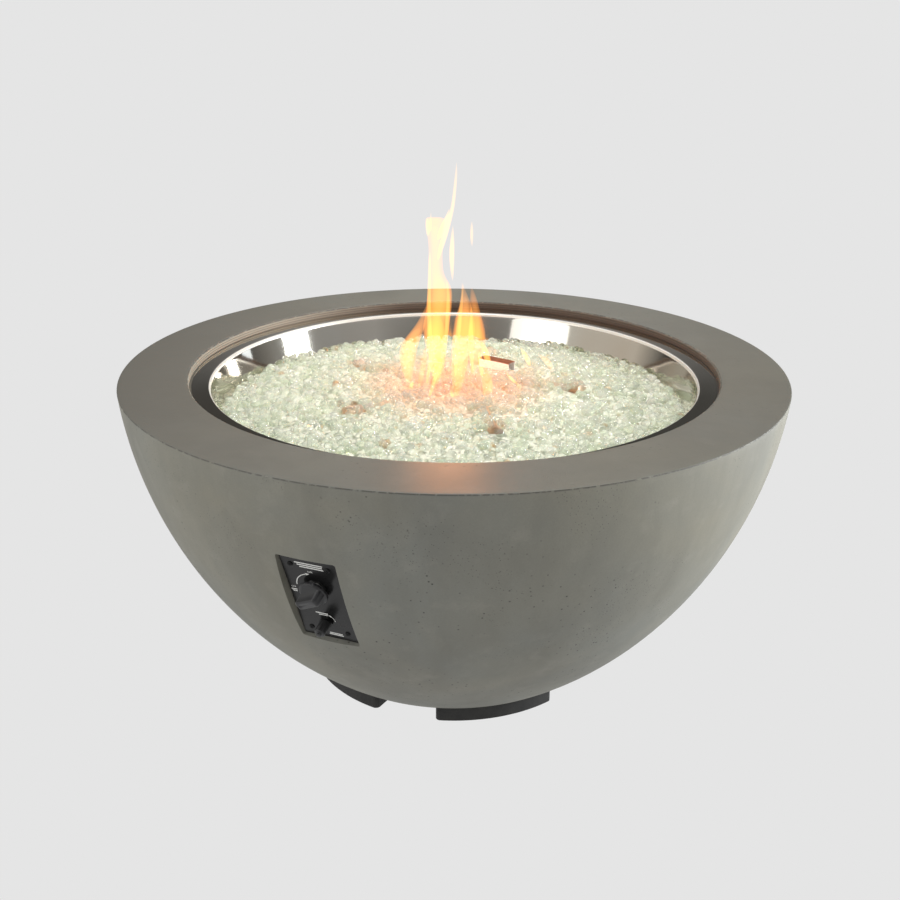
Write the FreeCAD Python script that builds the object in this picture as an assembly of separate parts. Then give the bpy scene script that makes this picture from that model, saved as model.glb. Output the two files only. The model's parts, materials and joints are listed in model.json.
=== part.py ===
import FreeCAD, Part
import math
import os

Vector = FreeCAD.Vector
Placement = FreeCAD.Placement
Rotation = FreeCAD.Rotation

# Round concrete gas fire bowl, in millimetres. The origin is on the floor at the centre,
# +Z is up, and the control panel faces -Y. Angles are in degrees, about +Z from +X.

# Bowl casting
overall_height = 517.0
rim_radius = 533.4
bottom_radius = 252.7
side_arc_radius = 676.0
opening_radius = 425.0
wall_thickness = 25.0
rim_thickness = 42.0
rim_outer_bevel = 1.5
rim_inner_bevel = 3.0
haunch_radius = 452.0
haunch_drop = 40.0
inner_wall_steps = 3
service_hole_radius = 75.0

# Segmented foot ring
foot_height = 29.0
foot_outer_radius = 243.5
foot_depth = 40.0
foot_count = 5
foot_span = 48.5
foot_gap_azimuth = -85.65
foot_corner_round = 8.0
foot_bolt_spread = 14.0
foot_bolt_radius = 3.0
foot_bolt_head_radius = 5.0
foot_bolt_head_height = 6.0
foot_bolt_recess = 12.0
foot_insert_radius = 5.0
foot_insert_length = 16.0

# Burner pan, a spun steel dish that hangs on a ledge inside the rim
sheet = 1.5
flange_drop = 12.0
flange_edge_gap = 4.0
ledge_width = 19.0
lip_radius = 392.0
lip_drop = 5.6
ledge_overhang = 2.0
pan_depth = 101.0
pan_floor_radius = 376.0
pan_corner_bevel = 12.0
drain_hole_radius = 4.0
drain_ring_radius = 300.0
drain_count = 4

# Star burner
burner_drop = 42.0
hub_radius = 38.0
hub_height = 26.0
hub_bevel = 4.0
arm_count = 5
arm_azimuth = -42.0
arm_tube_radius = 9.5
arm_tube_wall = 1.5
arm_straight = 15.0
arm_bend_radius = 400.0
arm_bend_length = 150.0
arm_socket_depth = 12.0
arm_cap_radius = 11.5
arm_cap_length = 18.0
arm_cap_bevel = 3.0
nipple_radius = 10.5
nipple_below_pan = 30.0
locknut_flats = 32.0
locknut_height = 8.0
mixer_radius = 14.0
mixer_length = 75.0
mixer_overlap = 18.0
mixer_window_width = 12.0
mixer_window_height = 24.0
orifice_flats = 22.0
orifice_height = 16.0

# Bed of fire glass
glass_edge_drop = 62.0
glass_crown = 27.0
glass_clearance = 0.5

# Pilot group under its hood, beside the burner
pilot_radius = 127.0
pilot_azimuth = 77.0
hood_length = 60.0
hood_depth = 20.0
hood_front_height = 16.0
hood_drop = 20.0
hood_sheet = 1.0
hood_bend = 1.5
hood_foot = 14.0
pilot_spacing = 12.0
pilot_hole_clearance = 0.5
ceramic_radius = 3.5
ceramic_top_drop = 36.0
ceramic_below_pan = 18.0
electrode_radius = 1.2
electrode_tip = 8.0
thermocouple_radius = 3.0
thermocouple_top_drop = 30.0

# Recessed control panel
panel_height = 316.0
panel_recess = 11.0
plate_width = 84.0
plate_height = 163.5
plate_thickness = 2.0
plate_corner_round = 2.0
plate_edge_gap = 1.5
recess_draft = 12.0
recess_corner_round = 3.5
window_width = 66.0
window_height = 118.0
plate_screw_x = 28.0
plate_screw_y = 65.75
plate_screw_radius = 2.0
plate_screw_head_radius = 3.9
plate_screw_head_height = 2.4
plate_screw_length = 11.0
plate_anchor_radius = 3.2
plate_anchor_length = 12.0

# Push-and-turn safety valve and its knob
knob_y = 22.0
valve_width = 34.0
valve_tall = 40.0
valve_deep = 42.0
valve_round = 3.0
valve_neck_radius = 8.0
valve_neck_height = 4.2
valve_nut_flats = 24.0
valve_nut_height = 3.2
rotor_radius = 5.93
rotor_length = 18.0
rotor_front = -18.0
stem_radius = 3.0
stem_front = 23.5
stem_tail = -28.0
stem_flat = 0.8
collar_radius = 4.6
collar_height = 1.5
collar_front = -8.2
magnet_radius = 8.0
magnet_height = 6.0
thermo_nut_flats = 9.0
thermo_nut_height = 8.0
valve_spring_wire = 0.7
valve_spring_turns = 3.0
knob_radius = 21.0
knob_back = 6.5
knob_skirt_wall = 3.5
knob_skirt_height = 5.5
knob_ceiling = 3.0
knob_front = 30.0
grip_length = 38.0
grip_width = 15.0
grip_bevel = 2.0
grip_angle = 27.0
pointer_length = 12.0
pointer_width = 1.4
pointer_depth = 0.6
knob_travel = 5.0

# Elbows and ports of the valve
port_depth = 30.0
elbow_reach = 18.0
elbow_radius = 7.0
thread_radius = 7.94
elbow_drop = 22.0
flare_nut_flats = 19.0
flare_nut_height = 18.0
flare_nut_start = 12.0
line_radius = 6.5
line_entry = 3.0

# Battery igniter
igniter_y = -45.0
igniter_radius = 10.0
igniter_back = -50.0
igniter_neck_radius = 6.75
igniter_neck_front = 12.0
battery_radius = 5.25
battery_length = 43.5
battery_nub_radius = 1.9
battery_nub_height = 1.0
battery_clearance = 0.15
igniter_nut_flats = 19.0
igniter_nut_height = 4.0
cap_radius = 7.6
cap_back = 4.4
cap_front = 24.0
cap_end_wall = 1.6
cap_chamber_radius = 5.2
cap_chamber_length = 7.5
button_radius = 3.93
button_proud = 3.0
button_flange_radius = 4.8
button_flange_height = 2.0
button_travel = 3.0
igniter_spring_wire = 0.6
igniter_spring_turns = 3.0

# Gas inlet on its bracket above the service hole
inlet_x = -35.0
inlet_y = 35.0
bracket_width = 44.0
bracket_rise = 42.0
bracket_foot_start = 88.0
bracket_foot_length = 30.0
bracket_reach = 26.0
bracket_sheet = 2.5
bracket_bend = 4.0
bracket_screw_spread = 13.0
bracket_screw_radius = 2.5
bracket_screw_length = 18.0
bracket_screw_head_radius = 5.0
bracket_screw_head_height = 3.0
inlet_hex_flats = 25.4
inlet_hex_height = 9.0
inlet_thread_radius = 9.53
inlet_shank_radius = 10.3
inlet_shank_below = 12.0
inlet_thread_below = 26.0
inlet_thread_above = 20.0
inlet_nut_height = 6.0

# Fits and shared details
wire_sides = 6
seat_gap = 0.05
running_gap = 0.07
thread_gap = 0.1
hole_gap = 0.3

# Heights and radii that follow from the sizes above
foot_inner_radius = foot_outer_radius - foot_depth
foot_bolt_circle = (foot_outer_radius + foot_inner_radius) / 2
flange_top = overall_height - flange_drop
ledge_top = flange_top - sheet
ledge_radius = opening_radius - ledge_width
flange_radius = opening_radius - flange_edge_gap
pan_floor_top = flange_top - pan_depth
pan_floor_bottom = pan_floor_top - sheet
burner_axis = overall_height - burner_drop
floor_top = foot_height + wall_thickness
nipple_bottom = pan_floor_bottom - nipple_below_pan
mixer_top = nipple_bottom + mixer_overlap
mixer_bottom = mixer_top - mixer_length
orifice_axis = mixer_bottom - orifice_height / 2
valve_back = -plate_thickness - valve_deep
rotor_back = rotor_front - rotor_length


def arc_centre():
    # Centre of the bowl's side arc, from its two ends and its radius
    chord_r = rim_radius - bottom_radius
    chord_z = overall_height - foot_height
    chord = math.hypot(chord_r, chord_z)
    away = math.sqrt(side_arc_radius ** 2 - (chord / 2) ** 2)
    middle_r = (rim_radius + bottom_radius) / 2
    middle_z = (overall_height + foot_height) / 2
    return middle_r - away * chord_z / chord, middle_z + away * chord_r / chord


centre_r, centre_z = arc_centre()


def side_radius(z, inset=0.0):
    # Radius of the bowl's side at a height, or of a skin that lies inside it
    return centre_r + math.sqrt((side_arc_radius - inset) ** 2 - (z - centre_z) ** 2)


panel_tilt = math.degrees(math.asin((centre_z - panel_height) / side_arc_radius))
panel_slope = math.radians(panel_tilt)
panel_place = Placement(
    Vector(0, panel_recess * math.cos(panel_slope) - side_radius(panel_height),
           panel_height + panel_recess * math.sin(panel_slope)),
    Rotation(Vector(1, 0, 0), 90 + panel_tilt))


def placed(shape, place):
    moved = shape.copy()
    moved.Placement = place.multiply(moved.Placement)
    return moved


def on_panel(shape):
    # Panel pieces are drawn with x to the right, y up the plate and z out of its face
    return placed(shape, panel_place)


def polar(radius, azimuth, z=0.0):
    angle = math.radians(azimuth)
    return Vector(radius * math.cos(angle), radius * math.sin(angle), z)


def turned_about_z(shape, azimuth):
    return placed(shape, Placement(Vector(0, 0, 0), Rotation(Vector(0, 0, 1), azimuth)))


def rod(radius, z_from, z_to, x=0.0, y=0.0):
    return Part.makeCylinder(radius, z_to - z_from, Vector(x, y, z_from))


def rod_towards(radius, start, direction, length):
    return Part.makeCylinder(radius, length, start, direction)


def hexagon(flats, z_from, z_to, x=0.0, y=0.0):
    corner = flats / math.sqrt(3)
    corners = [Vector(x, y, z_from) + polar(corner, 60 * k) for k in range(7)]
    return Part.Face(Part.makePolygon(corners)).extrude(Vector(0, 0, z_to - z_from))


def rounded_rectangle(width, height, z, corner):
    # Wire of a rectangle with round corners, centred on the Z axis
    half_w = width / 2
    half_h = height / 2
    reach = corner * (1 - math.sqrt(0.5))
    edges = []
    for turn in range(4):
        long_half, short_half = (half_w, half_h) if turn % 2 == 0 else (half_h, half_w)
        start = Vector(corner - long_half, -short_half, z)
        end = Vector(long_half - corner, -short_half, z)
        middle = Vector(long_half - reach, reach - short_half, z)
        finish = Vector(long_half, corner - short_half, z)
        side = Part.LineSegment(start, end).toShape()
        bend = Part.Arc(end, middle, finish).toShape()
        for edge in (side, bend):
            edge.rotate(Vector(0, 0, 0), Vector(0, 0, 1), 90 * turn)
            edges.append(edge)
    return Part.Wire(edges)


def rounded_block(width, height, z_from, z_to, corner, y=0.0):
    face = Part.Face(rounded_rectangle(width, height, z_from, corner))
    block = face.extrude(Vector(0, 0, z_to - z_from))
    block.translate(Vector(0, y, 0))
    return block


def closed_face(steps):
    # Each step is an end point, or the middle and the end point of an arc
    edges = []
    start = steps[-1][-1] if isinstance(steps[-1], tuple) else steps[-1]
    for step in steps:
        if isinstance(step, tuple):
            middle, end = step
            edges.append(Part.Arc(start, middle, end).toShape())
        else:
            end = step
            edges.append(Part.LineSegment(start, end).toShape())
        start = end
    return Part.Face(Part.Wire(edges))


def turned(steps):
    face = closed_face(steps)
    return face.revolve(Vector(0, 0, 0), Vector(0, 0, 1), 360)


def rz(radius, z):
    return Vector(radius, 0, z)


def arc_at_corner(before, corner, after, radius):
    # Arc tangent to the two runs that meet at a corner
    back = (before - corner).normalize()
    ahead = (after - corner).normalize()
    half = back.getAngle(ahead) / 2
    reach = radius / math.tan(half)
    towards_centre = (back + ahead).normalize()
    middle = corner + towards_centre * (radius / math.sin(half) - radius)
    return corner + back * reach, middle, corner + ahead * reach


def rounded_chain(points, radii):
    # Straight runs joined by tangent arcs
    edges = []
    start = points[0]
    for before, corner, after, radius in zip(points, points[1:], points[2:], radii):
        first, middle, last = arc_at_corner(before, corner, after, radius)
        edges.append(Part.LineSegment(start, first).toShape())
        edges.append(Part.Arc(first, middle, last).toShape())
        start = last
    edges.append(Part.LineSegment(start, points[-1]).toShape())
    return edges


def far_side(points, thickness):
    # Points of a sheet's other face, to the left of its chain in the XZ plane
    ways = [(after - before).normalize() for before, after in zip(points, points[1:])]
    normals = [Vector(-way.z, 0, way.x) for way in ways]
    far = [points[0] + normals[0] * thickness]
    for corner, before, after in zip(points[1:], normals, normals[1:]):
        far.append(corner + (before + after) * (thickness / (1 + before.dot(after))))
    far.append(points[-1] + normals[-1] * thickness)
    return far


def folded_sheet(points, thickness):
    # Face of a sheet with sharp folds in the XZ plane
    return Part.Face(Part.makePolygon(points + far_side(points, thickness)[::-1] + points[:1]))


def bent_sheet(points, radii, thickness):
    # Face of a sheet with round bends in the XZ plane
    far = far_side(points, thickness)
    far_radii = []
    for before, corner, after, radius in zip(points, points[1:], points[2:], radii):
        turn_left = (corner - before).cross(after - corner).y < 0
        far_radii.append(radius - thickness if turn_left else radius + thickness)
    near_edges = rounded_chain(points, radii)
    far_edges = rounded_chain(far[::-1], far_radii[::-1])
    ends = [Part.LineSegment(points[-1], far[-1]).toShape(), Part.LineSegment(far[0], points[0]).toShape()]
    return Part.Face(Part.Wire(near_edges + [ends[0]] + far_edges + [ends[1]]))


def routed(name, points, radius):
    # A flexible line or lead: each bend is as wide as the two runs beside it allow
    radii = []
    for before, corner, after in zip(points, points[1:], points[2:]):
        turn = (corner - before).getAngle(after - corner)
        shorter = min((corner - before).Length, (after - corner).Length)
        radii.append(0.45 * shorter / math.tan(turn / 2))
    path = Part.Wire(rounded_chain(points, radii))
    section = Part.Wire(Part.Circle(points[0], points[1] - points[0], radius).toShape())
    line = path.makePipeShell([section], True, False)
    expected = math.pi * radius ** 2 * path.Length
    print(name, "bend radii", [round(value) for value in radii], "length", round(path.Length),
          "volume ratio", round(line.Volume / expected, 4))
    return line


def spring(radius, wire, z_from, z_to, turns):
    # Compression spring about the Z axis: each quarter turn is two tangent arcs
    low = z_from + wire
    climb = (z_to - wire - low) / turns
    slope = Vector(0, 0, climb / (2 * math.pi))
    quarters = int(round(4 * turns))
    edges = []
    for k in range(quarters):
        start = polar(radius, 90 * k, low + climb * k / 4)
        end = polar(radius, 90 * (k + 1), low + climb * (k + 1) / 4)
        leaving = (polar(radius, 90 * (k + 1)) + slope).normalize()
        arriving = (polar(radius, 90 * (k + 2)) + slope).normalize()
        across = end - start
        along = across.dot(leaving + arriving)
        spread = 2 * (1 - leaving.dot(arriving))
        reach = (math.sqrt(along ** 2 + spread * across.dot(across)) - along) / spread
        first_corner = start + leaving * reach
        second_corner = end - arriving * reach
        meeting = (first_corner + second_corner) / 2
        for before, corner, after in ((start, first_corner, meeting), (meeting, second_corner, end)):
            back = (before - corner).normalize()
            half = back.getAngle(after - corner) / 2
            edges.append(Part.Arc(*arc_at_corner(before, corner, after, reach * math.tan(half))).toShape())
    start = polar(radius, 0, low)
    outward = polar(wire / 2, 0)
    forward = polar(radius, 90) + slope
    corners = [start + Rotation(forward, 360 / wire_sides * k).multVec(outward) for k in range(wire_sides)]
    section = Part.makePolygon(corners + corners[:1])
    return Part.Wire(edges).makePipeShell([section], True, False)


def group(solids):
    return Part.makeCompound(solids)


def concrete_bowl():
    top = overall_height
    underside = top - rim_thickness
    haunch_z = underside - haunch_drop
    outer_top = top - rim_outer_bevel
    middle_z = (outer_top + foot_height) / 2
    steps = [
        rz(bottom_radius, foot_height),
        (rz(side_radius(middle_z), middle_z), rz(side_radius(outer_top), outer_top)),
        rz(side_radius(outer_top) - rim_outer_bevel, top),
        rz(opening_radius + rim_inner_bevel, top),
        rz(opening_radius, top - rim_inner_bevel),
        rz(opening_radius, ledge_top),
        rz(ledge_radius, ledge_top),
        rz(ledge_radius, underside),
        rz(haunch_radius, underside),
    ]
    for k in range(inner_wall_steps + 1):
        z = haunch_z + (floor_top - haunch_z) * k / inner_wall_steps
        steps.append(rz(side_radius(z, wall_thickness), z))
    steps.append(rz(service_hole_radius, floor_top))
    steps.append(rz(service_hole_radius, foot_height))
    bowl = turned(steps)
    bowl = bowl.cut(panel_recess_space())
    return bowl.cut(bowl_insert_holes())


def panel_recess_space():
    # Drafted pocket for the plate, the window behind it and the four anchor holes
    floor_w = plate_width + 2 * plate_edge_gap
    floor_h = plate_height + 2 * plate_edge_gap
    mouth = panel_recess + plate_thickness
    spread = 2 * mouth * math.tan(math.radians(recess_draft))
    floor_wire = rounded_rectangle(floor_w, floor_h, -plate_thickness, recess_corner_round)
    mouth_wire = rounded_rectangle(floor_w + spread, floor_h + spread, panel_recess, recess_corner_round)
    pocket = Part.makeLoft([floor_wire, mouth_wire], True, True)
    behind = -plate_thickness - 3 * wall_thickness
    window = rounded_block(window_width, window_height, behind, -plate_thickness, recess_corner_round)
    space = pocket.fuse(window)
    for x, y in plate_screw_places():
        space = space.fuse(rod(plate_anchor_radius + seat_gap, -plate_thickness - plate_anchor_length,
                               -plate_thickness, x, y))
    return on_panel(space)


def plate_screw_places():
    return [(side * plate_screw_x, level * plate_screw_y) for level in (-1, 1) for side in (-1, 1)]


def foot_bolt_places():
    places = []
    for k in range(foot_count):
        middle = foot_gap_azimuth + 360 / foot_count * (k + 0.5)
        for side in (-1, 1):
            places.append(polar(foot_bolt_circle, middle + side * foot_bolt_spread))
    return places


def bracket_screw_places():
    y = bracket_foot_start + bracket_foot_length / 2
    return [(inlet_x + side * bracket_screw_spread, y) for side in (-1, 1)]


def bowl_insert_holes():
    holes = [rod(foot_insert_radius + seat_gap, foot_height, foot_height + foot_insert_length, p.x, p.y)
             for p in foot_bolt_places()]
    for x, y in bracket_screw_places():
        holes.append(rod(bracket_screw_radius + seat_gap, floor_top - bracket_screw_length, floor_top, x, y))
    return group(holes)


def base_segment(number):
    # One block of the foot ring, with two counterbored bolt holes
    start = foot_gap_azimuth + 360 / foot_count * (number + 0.5) - foot_span / 2
    middle = start + foot_span / 2
    end = start + foot_span
    face = closed_face([
        polar(foot_outer_radius, start),
        (polar(foot_outer_radius, middle), polar(foot_outer_radius, end)),
        polar(foot_inner_radius, end),
        (polar(foot_inner_radius, middle), polar(foot_inner_radius, start)),
    ])
    block = face.extrude(Vector(0, 0, foot_height))
    upright = [edge for edge in block.Edges if edge.BoundBox.ZLength > foot_height / 2]
    block = block.makeFillet(foot_corner_round, upright)
    for side in (-1, 1):
        place = polar(foot_bolt_circle, middle + side * foot_bolt_spread)
        block = block.cut(rod(foot_bolt_radius + hole_gap, 0, foot_height, place.x, place.y))
        block = block.cut(rod(foot_bolt_head_radius + 4 * hole_gap, 0, foot_bolt_recess, place.x, place.y))
    return block


def base_bolts():
    bolts = []
    for p in foot_bolt_places():
        head = rod(foot_bolt_head_radius, foot_bolt_recess - foot_bolt_head_height, foot_bolt_recess, p.x, p.y)
        tip = foot_height + foot_insert_length - 2 * hole_gap
        bolts.append(head.fuse(rod(foot_bolt_radius, foot_bolt_recess, tip, p.x, p.y)))
    return group(bolts)


def base_inserts():
    inserts = []
    for p in foot_bolt_places():
        sleeve = rod(foot_insert_radius, foot_height, foot_height + foot_insert_length, p.x, p.y)
        inserts.append(sleeve.cut(rod(foot_bolt_radius + thread_gap, foot_height,
                                      foot_height + foot_insert_length, p.x, p.y)))
    return group(inserts)


def burner_pan():
    # Spun dish: flange on the ledge, sloping lip, steep wall, bevelled corner and flat floor
    chain = [rz(flange_radius, flange_top), rz(ledge_radius - ledge_overhang, flange_top),
             rz(lip_radius, flange_top - lip_drop), pan_wall_foot(),
             rz(pan_floor_radius - pan_corner_bevel, pan_floor_top),
             rz(nipple_radius + hole_gap, pan_floor_top)]
    pan = folded_sheet(chain[::-1], -sheet)
    pan = pan.revolve(Vector(0, 0, 0), Vector(0, 0, 1), 360)
    for k in range(drain_count):
        place = polar(drain_ring_radius, 45 + 360 / drain_count * k)
        pan = pan.cut(rod(drain_hole_radius, pan_floor_bottom - sheet, pan_floor_top + sheet, place.x, place.y))
    for x, radius in pilot_rods():
        hole = rod(radius + pilot_hole_clearance, pan_floor_bottom - sheet, pan_floor_top + sheet, x, 0)
        pan = pan.cut(at_pilot(hole))
    return pan


def pan_wall_radius(z):
    # Inner radius of the pan's leaning wall at a height
    share = (z - pan_floor_top) / (flange_top - lip_drop - pan_floor_top)
    return pan_floor_radius + share * (lip_radius - pan_floor_radius)


def pan_wall_foot():
    z = pan_floor_top + pan_corner_bevel
    return rz(pan_wall_radius(z), z)


def pilot_rods():
    return [(-pilot_spacing, ceramic_radius), (pilot_spacing, thermocouple_radius)]


def at_pilot(shape):
    # Pilot pieces are drawn with x along the hood, y away from the burner and z up
    place = Placement(polar(pilot_radius, pilot_azimuth), Rotation(Vector(0, 0, 1), pilot_azimuth - 90))
    return placed(shape, place)


def pilot_hood():
    # Folded hood: short front, flat top, long back that stands on the pan floor
    top = overall_height - hood_drop
    front = -hood_depth / 2
    back = hood_depth / 2
    chain = [rz(front, top - hood_front_height), rz(front, top), rz(back, top),
             rz(back, pan_floor_top + hood_sheet), rz(back + hood_foot, pan_floor_top + hood_sheet)]
    face = bent_sheet(chain, [hood_bend, hood_bend, hood_bend + hood_sheet], -hood_sheet)
    hood = face.extrude(Vector(0, hood_length, 0))
    hood.translate(Vector(0, -hood_length / 2, 0))
    hood.rotate(Vector(0, 0, 0), Vector(0, 0, 1), 90)
    return at_pilot(hood)


def electrode_ceramic():
    bottom = pan_floor_bottom - ceramic_below_pan
    body = rod(ceramic_radius, bottom, overall_height - ceramic_top_drop, -pilot_spacing)
    bore = rod(electrode_radius + seat_gap, bottom, overall_height - ceramic_top_drop, -pilot_spacing)
    return at_pilot(body.cut(bore))


def electrode_rod():
    bottom = pan_floor_bottom - ceramic_below_pan
    top = overall_height - ceramic_top_drop + electrode_tip
    return at_pilot(rod(electrode_radius, bottom, top, -pilot_spacing))


def thermocouple():
    bottom = pan_floor_bottom - ceramic_below_pan
    top = overall_height - thermocouple_top_drop
    return at_pilot(rod(thermocouple_radius, bottom, top - thermocouple_radius, pilot_spacing).fuse(
        Part.makeSphere(thermocouple_radius, Vector(pilot_spacing, 0, top - thermocouple_radius))))


def burner_hub():
    low = burner_axis - hub_height / 2
    high = burner_axis + hub_height / 2
    hub = turned([
        rz(0, nipple_bottom), rz(nipple_radius, nipple_bottom), rz(nipple_radius, low),
        rz(hub_radius - hub_bevel, low), rz(hub_radius, low + hub_bevel),
        rz(hub_radius, high - hub_bevel), rz(hub_radius - hub_bevel, high),
        rz(0, high),
    ])
    socket = rod_towards(arm_tube_radius + seat_gap, Vector(hub_radius - arm_socket_depth, 0, burner_axis),
                         Vector(1, 0, 0), 2 * arm_socket_depth)
    for k in range(arm_count):
        hub = hub.cut(turned_about_z(socket, arm_azimuth + 360 / arm_count * k))
    return hub


def arm_end():
    # Where an arm's tube ends, and which way it points there
    turn = arm_bend_length / arm_bend_radius
    pivot = Vector(hub_radius + arm_straight, -arm_bend_radius, burner_axis)
    way = Vector(math.cos(turn), -math.sin(turn), 0)
    return pivot + Vector(math.sin(turn), math.cos(turn), 0) * arm_bend_radius, way


def arm_bend(section):
    # Sweeps a section at the start of the bend along the bend, which turns to the right
    pivot = Vector(hub_radius + arm_straight, -arm_bend_radius, burner_axis)
    return section.revolve(pivot, Vector(0, 0, -1), math.degrees(arm_bend_length / arm_bend_radius))


def arm_solid():
    # Straight stub, long bend and a screwed cap on the end
    start = Vector(hub_radius - arm_socket_depth, 0, burner_axis)
    bend_start = Vector(hub_radius + arm_straight, 0, burner_axis)
    stub = rod_towards(arm_tube_radius, start, Vector(1, 0, 0), (bend_start - start).x)
    circle = Part.Circle(bend_start, Vector(1, 0, 0), arm_tube_radius)
    bend = arm_bend(Part.Face(Part.Wire(circle.toShape())))
    end, way = arm_end()
    cap = rod_towards(arm_cap_radius, end - way * (arm_cap_length / 2), way, arm_cap_length)
    far_edge = [edge for edge in cap.Edges
                if edge.Closed and (edge.CenterOfMass - end).dot(way) > arm_cap_length / 4]
    cap = cap.makeChamfer(arm_cap_bevel, far_edge)
    return stub.fuse(bend).fuse(cap)


def arm_trench():
    # Room for an arm in the bed of glass, open above it
    reach = arm_tube_radius + glass_clearance
    cap_reach = arm_cap_radius + glass_clearance
    low = burner_axis - reach
    high = low + hub_height
    bend_x = hub_radius + arm_straight
    corners = [Vector(bend_x, side * reach, z)
               for side, z in ((-1, low), (1, low), (1, high), (-1, high), (-1, low))]
    bend = arm_bend(Part.Face(Part.makePolygon(corners)))
    stub = Part.makeBox(bend_x, 2 * reach, high - low, Vector(0, -reach, low))
    end, way = arm_end()
    cap = Part.makeBox(arm_cap_length + 2 * glass_clearance, 2 * cap_reach, hub_height,
                       Vector(-arm_cap_length / 2 - glass_clearance, -cap_reach, burner_axis - cap_reach))
    turn = Rotation(Vector(1, 0, 0), way)
    cap = placed(cap, Placement(Vector(end.x, end.y, 0), turn))
    return stub.fuse(bend).fuse(cap)


def burner_arm(number):
    arm = arm_solid()
    start = hub_radius - arm_socket_depth
    inner = rod_towards(arm_tube_radius - arm_tube_wall, Vector(start, 0, burner_axis), Vector(1, 0, 0),
                        arm_socket_depth + arm_straight)
    return turned_about_z(arm.cut(inner), arm_azimuth + 360 / arm_count * number)


def burner_locknut():
    nut = hexagon(locknut_flats, pan_floor_bottom - locknut_height, pan_floor_bottom)
    return nut.cut(rod(nipple_radius + thread_gap, pan_floor_bottom - locknut_height, pan_floor_bottom))


def air_mixer():
    # Sleeve on the nipple with two air windows
    sleeve = rod(mixer_radius, mixer_bottom, mixer_top)
    sleeve = sleeve.cut(rod(nipple_radius + thread_gap, mixer_bottom, mixer_top))
    window_low = mixer_bottom + mixer_window_width
    window = Part.makeBox(4 * mixer_radius, mixer_window_width, mixer_window_height,
                          Vector(-2 * mixer_radius, -mixer_window_width / 2, window_low))
    return sleeve.cut(window)


def burner_elbow():
    # Orifice holder: a hexagon under the mixer, a spigot inside it and a flare thread to the front
    body = hexagon(orifice_flats, mixer_bottom - orifice_height, mixer_bottom)
    spigot = rod(nipple_radius, mixer_bottom, mixer_bottom + mixer_window_width / 2)
    tip = Part.makeCone(nipple_radius / 2, nipple_radius / 4, mixer_window_width / 2,
                        Vector(0, 0, mixer_bottom + mixer_window_width / 2))
    thread = rod_towards(thread_radius, Vector(0, 0, orifice_axis), Vector(0, -1, 0), elbow_drop + elbow_radius)
    return body.fuse(spigot).fuse(tip).fuse(thread)


def fire_glass():
    # Heaped bed that fills the pan round the burner, the hood and the pilot rods
    edge_z = overall_height - glass_edge_drop
    low = pan_floor_top + glass_clearance
    corner = pan_wall_foot() - rz(2 * glass_clearance, 0)
    edge_r = pan_wall_radius(edge_z) - 2 * glass_clearance
    crown_z = edge_z + glass_crown
    bed = turned([
        rz(0, low), rz(pan_floor_radius - pan_corner_bevel, low), corner, rz(edge_r, edge_z),
        (rz(edge_r / 2, edge_z + 0.75 * glass_crown), rz(0, crown_z)),
    ])
    spaces = [rod(hub_radius + glass_clearance, low, crown_z + hub_height),
              at_pilot(pilot_space(low, crown_z + hood_front_height))]
    trench = arm_trench()
    for k in range(arm_count):
        spaces.append(turned_about_z(trench, arm_azimuth + 360 / arm_count * k))
    for space in spaces:
        bed = bed.cut(space)
    return max(bed.Solids, key=lambda solid: solid.Volume)


def pilot_space(low, high):
    length = hood_length + 2 * glass_clearance
    front = -hood_depth / 2 - hood_sheet - glass_clearance
    back = hood_depth / 2 + hood_foot + hood_sheet + glass_clearance
    return Part.makeBox(length, back - front, high - low, Vector(-length / 2, front, low))


def control_plate():
    plate = rounded_block(plate_width, plate_height, -plate_thickness, 0, plate_corner_round)
    holes = [(plate_screw_radius + hole_gap, x, y) for x, y in plate_screw_places()]
    holes.append((valve_neck_radius + hole_gap, 0, knob_y))
    holes.append((igniter_neck_radius + hole_gap, 0, igniter_y))
    for radius, x, y in holes:
        plate = plate.cut(rod(radius, -plate_thickness, 0, x, y))
    return on_panel(plate)


def plate_screws():
    screws = []
    for x, y in plate_screw_places():
        head = Part.makeCone(plate_screw_head_radius, plate_screw_head_radius * 0.7, plate_screw_head_height,
                             Vector(x, y, 0))
        shank = rod(plate_screw_radius, -plate_screw_length, 0, x, y)
        screws.append(on_panel(head.fuse(shank)))
    return group(screws)


def plate_anchors():
    anchors = []
    back = -plate_thickness - plate_anchor_length
    for x, y in plate_screw_places():
        sleeve = rod(plate_anchor_radius, back, -plate_thickness, x, y)
        bore = rod(plate_screw_radius + thread_gap, -plate_screw_length - 2 * hole_gap, -plate_thickness, x, y)
        anchors.append(on_panel(sleeve.cut(bore)))
    return group(anchors)


def valve_body():
    # Cast block behind the plate, threaded neck through it and the safety magnet on the back
    block = rounded_block(valve_width, valve_tall, valve_back, -plate_thickness, valve_round, knob_y)
    neck = rod(valve_neck_radius, -plate_thickness, valve_neck_height, 0, knob_y)
    magnet = rod(magnet_radius, valve_back - magnet_height, valve_back, 0, knob_y)
    chamber_front = collar_front + hole_gap
    chamber = rod(rotor_radius + running_gap, rotor_back - hole_gap, chamber_front, 0, knob_y)
    bore = rod(stem_radius + running_gap, chamber_front, valve_neck_height, 0, knob_y)
    return on_panel(block.fuse(neck).fuse(magnet).cut(chamber).cut(bore))


def valve_nut():
    nut = hexagon(valve_nut_flats, 0, valve_nut_height, 0, knob_y)
    return on_panel(nut.cut(rod(valve_neck_radius + thread_gap, 0, valve_nut_height, 0, knob_y)))


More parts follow.
